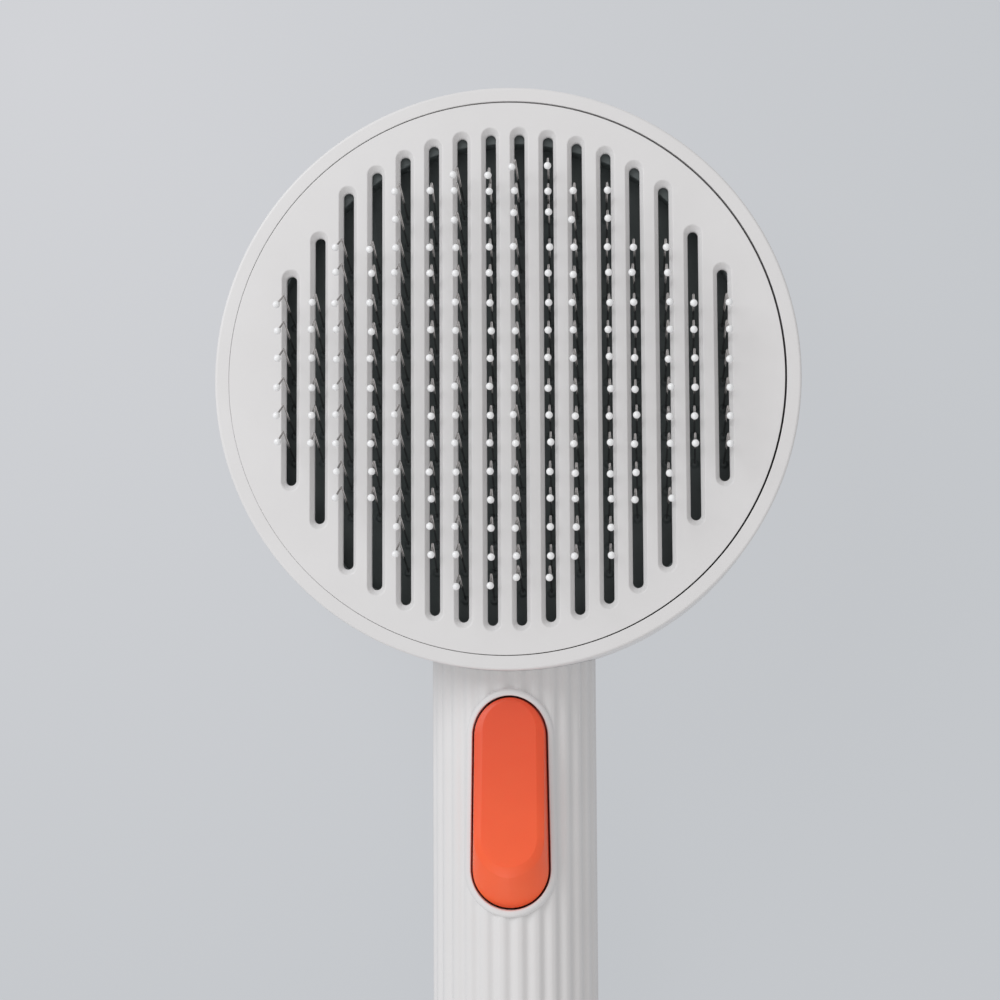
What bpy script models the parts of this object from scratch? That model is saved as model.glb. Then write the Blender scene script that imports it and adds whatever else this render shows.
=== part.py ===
"""A self-cleaning slicker brush, lying on its back.

The bent pins stand on a fixed base inside a round head and pass through a slotted face plate.
Pressing the button in the handle turns a rocker lever, and its far end lifts the plate towards
the pin tips, which pushes the collected hair off. Four springs bring the plate back.

+Z is the way the pins point, +Y runs from the handle to the tip of the head, X is across.
The origin is at the bottom centre of the bounding box.
"""

import math

import bmesh
import bpy
from mathutils import Matrix, Vector

OBJECT_NAME = "deshedding_tool"

# Overall
LENGTH = 0.205
GAP = 0.0003
MARGIN = 0.001
CUT_LOW_Z = 0.020
CUT_HIGH_Z = 0.040
ROUND_STEPS = 48
HIDDEN_STEPS = 14
SCREW_STEPS = 8
SHARP_ANGLE = math.radians(32)
FLAT_ANGLE = math.radians(0.2)

# Head shell
RING_R = 0.05085
RING_WIDTH = 0.0025
RING_TOP_Z = 0.035
RING_EDGE = 0.0007
SHELL_SPLIT_Z = 0.02245
LIP_DEPTH = 0.0022
LIP_THICKNESS = 0.0012
LEDGE_INNER_R = 0.0412
LEDGE_TOP_Z = 0.0247
LEDGE_THICKNESS = 0.0023
BACK_EDGE_R = 0.012
BACK_WALL = 0.002
HEAD_Y = LENGTH / 2 - RING_R
RING_BORE_R = RING_R - RING_WIDTH
BACK_ARC_STEPS = 4
ARC_SHARE = 0.3
TONGUE_OUT = 0.0055
TONGUE_IN = 0.008
TONGUE_WALL = 0.0018
TONGUE_DROP = 0.0012
LEVER_WAY_LOW_Y = -0.004
LEVER_WAY_HIGH_Y = 0.0085
LEVER_WAY_LOW_Z = 0.0085

# Face plate
PLATE_R = RING_BORE_R - 0.0004
PLATE_THICKNESS = 0.0018
PLATE_EDGE = 0.0006
SKIRT_THICKNESS = 0.00125
SKIRT_BOTTOM_Z = 0.028
SLOT_PITCH = 0.005
SLOTS_PER_SIDE = 8
SLOT_HALF_WIDTH = 0.0009
SLOT_CHAMFER = 0.0008
SLOT_FIELD_R = 0.0430
SLOT_FIELD_Y = -0.00025
SLOT_END_STEPS = 4
SLOT_SPARE = 0.00005
OUTER_SLOT_HALF_LENGTHS = (0.0251, 0.0184)

# Guide posts, springs and the frame that the lever pushes
POST_X = 0.0369
POST_Y = 0.0237
POST_R = 0.0016
POST_BOTTOM_Z = 0.0129
POST_ROOT = 0.0006
POST_PILOT_TOP_Z = 0.0187
POST_SCREW_TIP_Z = 0.0182
SPRING_WAY = 0.0009
SPRING_R = 0.0025
SPRING_WIRE_R = 0.00035
SPRING_TURNS = 4
SPRING_STEPS_PER_TURN = 9
FRAME_TOP_Z = 0.0126
FRAME_THICKNESS = 0.0015
FRAME_STEP = 0.0001
FRAME_ARM_WIDTH = 0.005
FRAME_HUB_R = 0.007
FRAME_ARM_START = 0.8 * FRAME_HUB_R
FRAME_END_R = 0.0031

# Needle base
BASE_FLOOR_Z = 0.029
BASE_FLOOR_THICKNESS = 0.0024
TRAY_R = 0.0413
BASE_RIM_TOP_Z = 0.0327
BASE_RIM_R = PLATE_R - SKIRT_THICKNESS - GAP
BASE_FLANGE_R = RING_BORE_R - GAP
BASE_FLANGE_TOP_Z = 0.0275
BASE_BOTTOM_Z = LEDGE_TOP_Z + GAP
BACKER_THICKNESS = 0.0014

# Pins: how many stand in each slot, from the middle slot outwards on either side
PINS_FROM_CENTRE = (16, 16, 14, 14, 10, 10, 6, 6)
PIN_PITCH = 0.0048
PIN_FIELD_Y = -0.0027
PIN_WIRE_R = 0.000175
PIN_BALL_R = 0.00065
PIN_BEND = Vector((0.0, 0.0040, 0.0105))
PIN_TIP = Vector((0.0, 0.0021, 0.0142))
STRIP_HALF_WIDTH = 0.0006
STRIP_END = 0.001
PIN_ROOT = 0.0012

# Handle
HANDLE_R = 0.01465
HANDLE_WALL = 0.0022
HANDLE_Z = HANDLE_R
FLUTES = 30
FLUTE_DEPTH = 0.00042
# One flute from rib to rib: shares of its pitch from its middle, and of its depth
FLUTE_SHAPE = ((-0.5, 0.0), (-0.3, 0.19), (-0.125, 1.0), (0.125, 1.0), (0.3, 0.19))
CAP_LENGTH = 0.005
CAP_FLAT = 0.0003
CAP_WALL = 0.0015
PLUG_LENGTH = 0.005
PLUG_WALL = 0.0018
END_CAP_STEPS = 30
HANDLE_END_Y = -LENGTH / 2 + CAP_LENGTH + GAP
HANDLE_HEAD_Y = 0.016
HANDLE_BORE_R = HANDLE_R - HANDLE_WALL
HANDLE_SCREW_YS = (-0.052, -0.085)
HANDLE_SCREW_SEAT_Z = 0.0095
HANDLE_SCREW_TIP_Z = 0.0200
HANDLE_BOSS_R = 0.0028
HEAD_WAY_FLOOR_Z = 0.0012
BOSS_ROOT = 0.0005

# Button and its opening
OPENING_HALF_WIDTH = 0.00702
OPENING_HEAD_Y = HEAD_Y - 0.0551
OPENING_LOW_Y = HEAD_Y - 0.0919
OPENING_DRAFT = 0.0005
OPENING_FLOOR_Z = 0.0238
BEZEL_WIDTH = 0.0012
BEZEL_HEIGHT = 0.0005
BUTTON_BOTTOM_Z = 0.024
BUTTON_SHOULDER_Z = 0.0284
BUTTON_FLUSH_Z = 0.0296
BUTTON_PROUD_Z = 0.0337
BUTTON_END_RUN = 0.0054
BUTTON_DRAFT = 0.00065
BUTTON_FILLET = 0.001
BUTTON_WALL = 0.0016
BUTTON_STEPS = 9
# Shares of the way from the button's shoulder to its top, and of its fillet
BUTTON_SIDE = ((0.0, 0.0), (0.8, 0.0), (0.94, 0.3), (1.0, 1.0))

# Rocker lever
PIVOT_Y = HEAD_Y - 0.058
PIVOT_Z = 0.020
PIVOT_PIN_R = 0.00125
LEVER_HUB_R = 0.003
LEVER_HALF_WIDTH = 0.004
LEVER_NOSE_R = 0.0025
LEVER_BED_INSET_LOW = 0.0107
LEVER_BED_INSET_HEAD = 0.0054
LUG_INNER_X = 0.0043
LUG_LOW_Z = HANDLE_Z + 0.0024
LUG_HIGH_Z = 0.0232
PIN_WAY_HALF = 0.0105
PIVOT_PIN_HALF = 0.0102
# (y, z) of the lever's outline: its foot between hub and nose, and its heights about the hub
LEVER_BED_HEAD_Z = 0.0232
LEVER_BED_LOW_Z = 0.0215
LEVER_HUB_NEAR_Z = (0.0200, 0.0165)
LEVER_HUB_FAR_Z = (0.0180, 0.0212)
LEVER_KNEE_UNDER = (-0.0055, 0.0128)
LEVER_KNEE_OVER = (0.002, 0.0163)
LEVER_NECK = (0.0025, 0.0018)
LEVER_NOSE_ARC = (260, 460, 10)

# Fasteners
SHANK_R = 0.0008
HOLE_R = SHANK_R + GAP
HEAD_R = 0.0019
HEAD_HEIGHT = 0.0015
SCREW_RECESS = 0.0008
BASE_SCREW_R = 0.0446
BASE_SCREW_ANGLES = (60, 120, 240, 300)
BASE_SCREW_TIP_Z = 0.0297
CASE_SCREW_R = 0.0430
CASE_SCREW_ANGLES = (0, 90, 180)
CASE_BOSS_R = 0.0033
CASE_SCREW_SEAT_Z = 0.0172
CASE_BOSS_LOW_Z = 0.006
BACKER_SCREW_X = 0.020
BACKER_SCREW_Y = 0.030
BACKER_SCREW_TOP_SKIN = 0.0006
BACKER_SCREW_TIP_DEPTH = 0.0010
NECK_SCREW_OUT = 0.0028
NECK_HEAD_Z = (0.0002, 0.0009)
NECK_TIP_Z = 0.0048

WHITE = "white_abs"
SLATE = "slate_nylon"
ORANGE = "orange_abs"
GREY = "grey_acetal"
STEEL = "spring_steel"
PIN_STEEL = "pin_stainless"
ZINC = "zinc_plated_steel"

MATERIALS = {
    WHITE: ((0.72, 0.71, 0.705), 0.0, 0.45),
    SLATE: ((0.030, 0.035, 0.036), 0.0, 0.55),
    ORANGE: ((0.87, 0.155, 0.062), 0.0, 0.42),
    GREY: ((0.30, 0.31, 0.32), 0.0, 0.40),
    STEEL: ((0.50, 0.50, 0.52), 1.0, 0.30),
    PIN_STEEL: ((0.66, 0.66, 0.67), 1.0, 0.22),
    ZINC: ((0.58, 0.58, 0.60), 1.0, 0.38),
}


def clear_scene():
    for obj in list(bpy.data.objects):
        bpy.data.objects.remove(obj)


def new_collection(name):
    made = bpy.data.collections.new(name)
    bpy.context.scene.collection.children.link(made)
    return made


def new_material(name, colour, metallic, roughness):
    material = bpy.data.materials.new(name)
    material.use_nodes = True
    shader = material.node_tree.nodes["Principled BSDF"]
    shader.inputs["Base Color"].default_value = (*colour, 1.0)
    shader.inputs["Metallic"].default_value = metallic
    shader.inputs["Roughness"].default_value = roughness
    return material


def link(name, data):
    obj = bpy.data.objects.new(name, data)
    parts.objects.link(obj)
    return obj


def realise(obj):
    """Replaces the object by the mesh that its curve or its modifiers make."""
    bpy.context.view_layer.update()
    graph = bpy.context.evaluated_depsgraph_get()
    mesh = bpy.data.meshes.new_from_object(obj.evaluated_get(graph))
    name = obj.name
    bpy.data.objects.remove(obj)
    return link(name, mesh)


def weld(obj, distance=1e-7):
    mesh = bmesh.new()
    mesh.from_mesh(obj.data)
    bmesh.ops.remove_doubles(mesh, verts=mesh.verts, dist=distance)
    mesh.to_mesh(obj.data)
    mesh.free()
    return obj


def combine(obj, operation, others):
    for other in others:
        modifier = obj.modifiers.new(operation.lower(), "BOOLEAN")
        modifier.operation = operation
        modifier.solver = "EXACT"
        modifier.object = other
    obj = realise(obj)
    for other in others:
        bpy.data.objects.remove(other)
    return obj


def cut(obj, *others):
    return combine(obj, "DIFFERENCE", others)


def join(obj, *others):
    return combine(obj, "UNION", others)


def merge_flats(obj):
    """Joins the triangles of each flat face that the Booleans left in pieces."""
    mesh = bmesh.new()
    mesh.from_mesh(obj.data)
    bmesh.ops.dissolve_limit(mesh, angle_limit=FLAT_ANGLE, verts=mesh.verts, edges=mesh.edges)
    mesh.to_mesh(obj.data)
    mesh.free()
    return obj


def finish(obj, material, origin=(0.0, 0.0, 0.0)):
    """Gives a finished piece its material and shading, and puts its origin on its joint's axis."""
    obj.data.transform(Matrix.Translation(-Vector(origin)))
    obj.location = origin
    obj.data.materials.clear()
    obj.data.materials.append(materials[material])
    obj.data.shade_smooth()
    obj.data.set_sharp_from_angle(angle=SHARP_ANGLE)
    return obj


def revolve(name, profile, centre=(0.0, HEAD_Y), steps=ROUND_STEPS, closed=False):
    """Turns (radius, z) points about a vertical line. They run down the outer side."""
    points = [(radius, 0.0, z) for radius, z in profile]
    edges = [(i, i + 1) for i in range(len(points) - 1)]
    if closed:
        edges.append((len(points) - 1, 0))
    mesh = bpy.data.meshes.new(name)
    mesh.from_pydata(points, edges, [])
    obj = link(name, mesh)
    screw = obj.modifiers.new("revolve", "SCREW")
    screw.steps = steps
    screw.render_steps = steps
    screw.use_merge_vertices = True
    screw.merge_threshold = 0.00001
    obj = realise(obj)
    obj.data.transform(Matrix.Translation((centre[0], centre[1], 0.0)))
    return obj


def box(name, low, high):
    mesh = bmesh.new()
    size = [b - a for a, b in zip(low, high)]
    middle = [(a + b) / 2 for a, b in zip(low, high)]
    matrix = Matrix.Translation(middle) @ Matrix.Diagonal((*size, 1.0))
    bmesh.ops.create_cube(mesh, size=1.0, matrix=matrix)
    data = bpy.data.meshes.new(name)
    mesh.to_mesh(data)
    mesh.free()
    return link(name, data)


def rod(name, start, end, radius, steps=HIDDEN_STEPS):
    """A cylinder between two points."""
    start = Vector(start)
    run = Vector(end) - start
    turn = Vector((0.0, 0.0, 1.0)).rotation_difference(run).to_matrix().to_4x4()
    half_step = Matrix.Rotation(math.pi / steps, 4, "Z")
    mesh = bmesh.new()
    bmesh.ops.create_cone(
        mesh,
        cap_ends=True,
        segments=steps,
        radius1=radius,
        radius2=radius,
        depth=run.length,
        matrix=Matrix.Translation(start + run / 2) @ turn @ half_step,
    )
    data = bpy.data.meshes.new(name)
    mesh.to_mesh(data)
    mesh.free()
    return link(name, data)


def upright(name, x, y, low, high, radius, steps=HIDDEN_STEPS):
    return rod(name, (x, y, low), (x, y, high), radius, steps)


def extrude(name, outline, start, end, matrix):
    """A flat outline drawn out along its own normal, from start to end."""
    curve = bpy.data.curves.new(name, "CURVE")
    curve.dimensions = "2D"
    curve.fill_mode = "BOTH"
    curve.extrude = (end - start) / 2
    spline = curve.splines.new("POLY")
    spline.points.add(len(outline) - 1)
    for point, (u, v) in zip(spline.points, outline):
        point.co = (u, v, 0.0, 1.0)
    spline.use_cyclic_u = True
    obj = weld(realise(link(name, curve)))
    obj.data.transform(matrix @ Matrix.Translation((0.0, 0.0, (start + end) / 2)))
    return obj


def loft(name, rings):
    """Closed rings with the same number of points, joined in turn from the bottom one up."""
    count = len(rings[0])
    points = [point for ring in rings for point in ring]
    faces = [list(reversed(range(count)))]
    for level in range(len(rings) - 1):
        for i in range(count):
            j = (i + 1) % count
            low, high = level * count, (level + 1) * count
            faces.append([low + i, low + j, high + j, high + i])
    faces.append([(len(rings) - 1) * count + i for i in range(count)])
    mesh = bpy.data.meshes.new(name)
    mesh.from_pydata(points, [], faces)
    return link(name, mesh)


def stadium(half_width, low_y, high_y, steps, x=0.0):
    """An outline with straight sides along Y and round ends, anticlockwise."""
    points = []
    for end_y, start_angle in ((high_y - half_width, 0.0), (low_y + half_width, math.pi)):
        for i in range(steps + 1):
            angle = start_angle + math.pi * i / steps
            points.append((x + half_width * math.cos(angle), end_y + half_width * math.sin(angle)))
    return points


def level(outline, z):
    return [(x, y, z) for x, y in outline]


def around_head(radius, degrees):
    angle = math.radians(degrees)
    return radius * math.cos(angle), HEAD_Y + radius * math.sin(angle)


def back_arc(radius, low_z):
    """The rounded edge of the head's back, from its wall down to its flat."""
    points = []
    for i in range(BACK_ARC_STEPS + 1):
        angle = math.pi / 2 * i / BACK_ARC_STEPS
        points.append((RING_R - BACK_EDGE_R + radius * math.cos(angle), BACK_EDGE_R - radius * math.sin(angle)))
    points[-1] = (points[-1][0], low_z)
    return points


def head_envelope(name):
    """The outside of the head plus the gap, to end the handle against it."""
    profile = [(0.0, CUT_HIGH_Z), (RING_R + GAP, CUT_HIGH_Z)]
    profile += back_arc(BACK_EDGE_R + GAP, -GAP)
    profile += [(0.0, -GAP)]
    return revolve(name, profile)


def post_places():
    return [(sx * POST_X, HEAD_Y + sy * POST_Y) for sy in (1, -1) for sx in (-1, 1)]


def screw(name, x, y, seat_z, tip_z, origin=(0.0, 0.0, 0.0), recess=0.0):
    """A screw driven upwards, with a round recess of this depth in its head."""
    bottom_z = seat_z - HEAD_HEIGHT
    profile = [(0.0, tip_z), (SHANK_R, tip_z), (SHANK_R, seat_z), (HEAD_R, seat_z), (HEAD_R, bottom_z)]
    if recess:
        profile += [(HEAD_R / 2, bottom_z), (HEAD_R / 2, bottom_z + recess)]
    profile.append((0.0, bottom_z + recess))
    return finish(revolve(name, profile, (x, y), SCREW_STEPS), ZINC, origin)


def make_front_housing():
    wall_r = RING_BORE_R - GAP
    ledge_z = LEDGE_TOP_Z - LEDGE_THICKNESS
    lip_z = SHELL_SPLIT_Z - LIP_DEPTH
    profile = [
        (RING_R - RING_EDGE, RING_TOP_Z),
        (RING_R - RING_EDGE * ARC_SHARE, RING_TOP_Z - RING_EDGE * ARC_SHARE),
        (RING_R, RING_TOP_Z - RING_EDGE),
        (RING_R, SHELL_SPLIT_Z + GAP / 2),
        (wall_r, SHELL_SPLIT_Z + GAP / 2),
        (wall_r, lip_z),
        (wall_r - LIP_THICKNESS, lip_z),
        (wall_r - LIP_THICKNESS, ledge_z),
        (LEDGE_INNER_R, ledge_z),
        (LEDGE_INNER_R, LEDGE_TOP_Z),
        (RING_BORE_R, LEDGE_TOP_Z),
        (RING_BORE_R, RING_TOP_Z - RING_EDGE / 2),
        (RING_BORE_R + RING_EDGE / 2, RING_TOP_Z),
    ]
    housing = revolve("front_housing", profile, closed=True)
    low, high = ledge_z - MARGIN, LEDGE_TOP_Z + MARGIN
    cutters = []
    for x, y in post_places():
        cutters.append(upright("spring_way", x, y, low, high, SPRING_R + SPRING_WAY))
    for radius, angles in ((BASE_SCREW_R, BASE_SCREW_ANGLES), (CASE_SCREW_R, CASE_SCREW_ANGLES)):
        for degrees in angles:
            x, y = around_head(radius, degrees)
            cutters.append(upright("hole", x, y, low, high, HOLE_R, SCREW_STEPS))
    return finish(cut(housing, *cutters), WHITE)


def make_rear_cover():
    inner_r = BACK_EDGE_R - RING_WIDTH
    wall_top = SHELL_SPLIT_Z - GAP / 2
    profile = [(0.0, BACK_WALL)]
    profile += list(reversed(back_arc(inner_r, BACK_WALL)))
    profile += [(RING_BORE_R, wall_top), (RING_R, wall_top)]
    profile += back_arc(BACK_EDGE_R, 0.0)
    profile += [(0.0, 0.0)]
    cover = revolve("rear_cover", profile)
    tongue_r = HANDLE_BORE_R - GAP
    low_y, high_y = HEAD_Y - RING_R - TONGUE_OUT, HEAD_Y - RING_R + TONGUE_IN
    over_low, over_high = low_y - MARGIN, high_y + MARGIN
    tongue = rod("tongue", (0, low_y, HANDLE_Z), (0, high_y, HANDLE_Z), tongue_r, HIDDEN_STEPS * 2)
    bore_r = tongue_r - TONGUE_WALL
    bore = rod("bore", (0, over_low, HANDLE_Z), (0, over_high, HANDLE_Z), bore_r, HIDDEN_STEPS * 2)
    low_z = HANDLE_Z - TONGUE_DROP
    above = box("above", (-HANDLE_R, over_low, low_z), (HANDLE_R, over_high, CUT_HIGH_Z))
    tongue = cut(tongue, bore, above)
    bosses = []
    ways = []
    for degrees in CASE_SCREW_ANGLES:
        x, y = around_head(CASE_SCREW_R, degrees)
        boss_top_z = LEDGE_TOP_Z - LEDGE_THICKNESS - GAP
        bosses.append(upright("boss", x, y, CASE_BOSS_LOW_Z, boss_top_z, CASE_BOSS_R))
        ways.append(upright("head_way", x, y, -MARGIN, CASE_SCREW_SEAT_Z, HEAD_R + GAP))
        ways.append(upright("shank_way", x, y, CASE_SCREW_SEAT_Z - MARGIN, CUT_HIGH_Z, HOLE_R, SCREW_STEPS))
    half = LEVER_HALF_WIDTH + MARGIN
    way_low, way_high = (-half, LEVER_WAY_LOW_Y, LEVER_WAY_LOW_Z), (half, LEVER_WAY_HIGH_Y, CUT_HIGH_Z)
    ways.append(box("lever_way", way_low, way_high))
    top_z = NECK_TIP_Z + 2 * MARGIN
    ways.append(upright("hole", 0, neck_screw_y(), -MARGIN, top_z, HOLE_R, SCREW_STEPS))
    cover = join(cover, tongue, *bosses)
    return finish(cut(cover, *ways), WHITE)


def neck_screw_y():
    return HEAD_Y - RING_R - NECK_SCREW_OUT


def slot_half_length(x):
    index = round(abs(x) / SLOT_PITCH - 0.5)
    inner_count = SLOTS_PER_SIDE - len(OUTER_SLOT_HALF_LENGTHS)
    if index < inner_count:
        return math.sqrt(SLOT_FIELD_R**2 - x**2)
    return OUTER_SLOT_HALF_LENGTHS[index - inner_count]


def slot_xs():
    return [(i + 0.5) * SLOT_PITCH for i in range(-SLOTS_PER_SIDE, SLOTS_PER_SIDE)]


def slot_cutter(name, x):
    """One slot of the plate, opening out towards the face."""
    reach = slot_half_length(x)
    levels = (
        (RING_TOP_Z - PLATE_THICKNESS - MARGIN, 0.0),
        (RING_TOP_Z - SLOT_CHAMFER, 0.0),
        (RING_TOP_Z + SLOT_SPARE, SLOT_CHAMFER + SLOT_SPARE),
    )
    rings = []
    for z, wider in levels:
        middle = HEAD_Y + SLOT_FIELD_Y
        low, high = middle - reach - wider, middle + reach + wider
        rings.append(level(stadium(SLOT_HALF_WIDTH + wider, low, high, SLOT_END_STEPS, x), z))
    return loft(name, rings)


def make_face_plate():
    under_z = RING_TOP_Z - PLATE_THICKNESS
    profile = [
        (0.0, RING_TOP_Z),
        (PLATE_R - PLATE_EDGE, RING_TOP_Z),
        (PLATE_R - PLATE_EDGE * ARC_SHARE, RING_TOP_Z - PLATE_EDGE * ARC_SHARE),
        (PLATE_R, RING_TOP_Z - PLATE_EDGE),
        (PLATE_R, SKIRT_BOTTOM_Z),
        (PLATE_R - SKIRT_THICKNESS, SKIRT_BOTTOM_Z),
        (PLATE_R - SKIRT_THICKNESS, under_z),
        (0.0, under_z),
    ]
    plate = revolve("face_plate", profile)
    plate = cut(plate, *[slot_cutter("slot", x) for x in slot_xs()])
    for x, y in post_places():
        post = upright("post", x, y, POST_BOTTOM_Z, under_z + POST_ROOT, POST_R)
        pilot = upright("pilot", x, y, POST_BOTTOM_Z - MARGIN, POST_PILOT_TOP_Z, HOLE_R, SCREW_STEPS)
        plate = join(plate, cut(post, pilot))
    return finish(merge_flats(plate), WHITE, plate_origin())


def plate_origin():
    return (0.0, HEAD_Y, RING_TOP_Z)


def strip_ends(count):
    half = (count - 1) / 2 * PIN_PITCH + STRIP_END
    middle = HEAD_Y + PIN_FIELD_Y
    return middle - half, middle + half


def pin_columns():
    """(x, number of pins) of every slot, from -X to +X."""
    return [(x, PINS_FROM_CENTRE[round(abs(x) / SLOT_PITCH - 0.5)]) for x in slot_xs()]


def make_needle_base():
    floor_under_z = BASE_FLOOR_Z - BASE_FLOOR_THICKNESS
    profile = [
        (0.0, BASE_FLOOR_Z),
        (TRAY_R, BASE_FLOOR_Z),
        (TRAY_R, BASE_RIM_TOP_Z),
        (BASE_RIM_R, BASE_RIM_TOP_Z),
        (BASE_RIM_R, BASE_FLANGE_TOP_Z),
        (BASE_FLANGE_R, BASE_FLANGE_TOP_Z),
        (BASE_FLANGE_R, BASE_BOTTOM_Z),
        (TRAY_R, BASE_BOTTOM_Z),
        (TRAY_R, floor_under_z),
        (0.0, floor_under_z),
    ]
    base = revolve("needle_base", profile)
    cutters = []
    for x, count in pin_columns():
        low, high = strip_ends(count)
        half = STRIP_HALF_WIDTH + GAP
        cutters.append(box("strip_way", (x - half, low - GAP, CUT_LOW_Z), (x + half, high + GAP, CUT_HIGH_Z)))
    for x, y in post_places():
        cutters.append(upright("post_way", x, y, CUT_LOW_Z, CUT_HIGH_Z, POST_R + GAP))
    for degrees in BASE_SCREW_ANGLES:
        x, y = around_head(BASE_SCREW_R, degrees)
        cutters.append(upright("hole", x, y, CUT_LOW_Z, BASE_SCREW_TIP_Z + GAP, HOLE_R, SCREW_STEPS))
    top_z = BASE_FLOOR_Z - BACKER_SCREW_TOP_SKIN
    for x, y in backer_screw_places():
        cutters.append(upright("hole", x, y, CUT_LOW_Z, top_z, HOLE_R, SCREW_STEPS))
    return finish(merge_flats(cut(base, *cutters)), SLATE)


def backer_screw_places():
    return [(sx * BACKER_SCREW_X, HEAD_Y + sy * BACKER_SCREW_Y) for sy in (1, -1) for sx in (-1, 1)]


def make_needle_backer():
    top_z = BASE_FLOOR_Z - BASE_FLOOR_THICKNESS - GAP
    radius = TRAY_R - GAP
    backer = upright("needle_backer", 0, HEAD_Y, top_z - BACKER_THICKNESS, top_z, radius, ROUND_STEPS)
    holes = []
    for x, y in backer_screw_places():
        holes.append(upright("hole", x, y, CUT_LOW_Z, CUT_HIGH_Z, HOLE_R, SCREW_STEPS))
    return finish(merge_flats(cut(backer, *holes)), SLATE)


def pin_points(x, y):
    """Centre points and radii along one bent pin, with its ball at the end."""
    root = Vector((x, y, BASE_FLOOR_Z))
    tip = root + PIN_TIP
    run = (PIN_TIP - PIN_BEND).normalized()
    return [
        (root - Vector((0.0, 0.0, PIN_ROOT)), PIN_WIRE_R),
        (root + PIN_BEND, PIN_WIRE_R),
        (tip - run * PIN_BALL_R, PIN_WIRE_R),
        (tip, PIN_BALL_R),
        (tip + run * PIN_BALL_R, PIN_BALL_R / 3),
    ]


def make_pin_row(number, x, count):
    """One slot's pins, standing on the strip that holds them in the base."""
    name = f"pin_row_{number:02d}"
    low, high = strip_ends(count)
    low_z = BASE_FLOOR_Z - BASE_FLOOR_THICKNESS
    top_z = BASE_FLOOR_Z - GAP
    strip = box(name, (x - STRIP_HALF_WIDTH, low, low_z), (x + STRIP_HALF_WIDTH, high, top_z))
    curve = bpy.data.curves.new("pins", "CURVE")
    curve.dimensions = "3D"
    curve.bevel_depth = 1.0
    curve.bevel_resolution = 0
    curve.use_fill_caps = True
    for i in range(count):
        line = pin_points(x, low + STRIP_END + i * PIN_PITCH)
        spline = curve.splines.new("POLY")
        spline.points.add(len(line) - 1)
        for point, (place, radius) in zip(spline.points, line):
            point.co = (*place, 1.0)
            point.radius = radius
    pins = weld(realise(link("pins", curve)))
    return finish(join(strip, pins), PIN_STEEL)


def make_return_spring(number, x, y):
    """A coil round one guide post, between the base and the lift frame."""
    low = FRAME_TOP_Z + GAP + SPRING_WIRE_R
    high = BASE_BOTTOM_Z - GAP - SPRING_WIRE_R
    steps = SPRING_TURNS * SPRING_STEPS_PER_TURN
    curve = bpy.data.curves.new("spring", "CURVE")
    curve.dimensions = "3D"
    curve.bevel_depth = SPRING_WIRE_R
    curve.bevel_resolution = 0
    curve.use_fill_caps = True
    spline = curve.splines.new("POLY")
    spline.points.add(steps)
    for i, point in enumerate(spline.points):
        angle = 2 * math.pi * i / SPRING_STEPS_PER_TURN
        z = low + (high - low) * i / steps
        point.co = (x + SPRING_R * math.cos(angle), y + SPRING_R * math.sin(angle), z, 1.0)
    spring = weld(realise(link(f"return_spring_{number}", curve)))
    return finish(spring, STEEL)


def make_lift_frame():
    """The cross behind the base that ties the four posts together, and that the lever pushes."""
    low_z = FRAME_TOP_Z - FRAME_THICKNESS
    frame = upright("lift_frame", 0, HEAD_Y, low_z, FRAME_TOP_Z, FRAME_HUB_R)
    reach = math.hypot(POST_X, POST_Y)
    angle = math.atan2(POST_Y, POST_X)
    pieces = []
    holes = []
    half = FRAME_ARM_WIDTH / 2
    arm_low, arm_high = low_z + FRAME_STEP, FRAME_TOP_Z - FRAME_STEP
    for turn in (angle, math.pi - angle, math.pi + angle, -angle):
        arm = box("arm", (FRAME_ARM_START, -half, arm_low), (reach, half, arm_high))
        arm.data.transform(Matrix.Translation((0.0, HEAD_Y, 0.0)) @ Matrix.Rotation(turn, 4, "Z"))
        pieces.append(arm)
    for x, y in post_places():
        pieces.append(upright("end", x, y, low_z, FRAME_TOP_Z, FRAME_END_R))
        holes.append(upright("hole", x, y, low_z - MARGIN, FRAME_TOP_Z + MARGIN, HOLE_R, SCREW_STEPS))
    return finish(cut(join(frame, *pieces), *holes), GREY, plate_origin())


def flute_outline(upper):
    """Half of the fluted section, in x and z about the handle's axis, closed by its flat."""
    side = 1 if upper else -1
    points = []
    for flute in range(FLUTES // 2):
        for offset, depth in FLUTE_SHAPE:
            turn = (flute + 0.5 + offset) / FLUTES * 2 * math.pi
            radius = HANDLE_R - depth * FLUTE_DEPTH
            points.append((radius * math.cos(turn), side * radius * math.sin(turn)))
    points.append((-HANDLE_R, 0.0))
    edge = side * GAP / 2
    points[0] = (HANDLE_R, edge)
    points[-1] = (-HANDLE_R, edge)
    return [(x, HANDLE_Z + z) for x, z in points]


def half_tube(name, upper):
    outline = flute_outline(upper)
    upright_section = Matrix.Rotation(math.pi / 2, 4, "X")
    return extrude(name, outline, -HANDLE_HEAD_Y, -HANDLE_END_Y, upright_section)


def handle_bore():
    start, end = (0, HANDLE_END_Y - MARGIN, HANDLE_Z), (0, HANDLE_HEAD_Y + MARGIN, HANDLE_Z)
    return rod("bore", start, end, HANDLE_BORE_R, HIDDEN_STEPS * 2)


def opening_cutter():
    """The button's opening. Below the button's shoulder it widens, so that the turning button clears it."""
    rings = []
    for z, wider in ((OPENING_FLOOR_Z, OPENING_DRAFT), (BUTTON_SHOULDER_Z, 0.0), (CUT_HIGH_Z, 0.0)):
        half, low, high = OPENING_HALF_WIDTH + wider, OPENING_LOW_Y - wider, OPENING_HEAD_Y + wider
        rings.append(level(stadium(half, low, high, BUTTON_STEPS), z))
    return loft("opening", rings)


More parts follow.
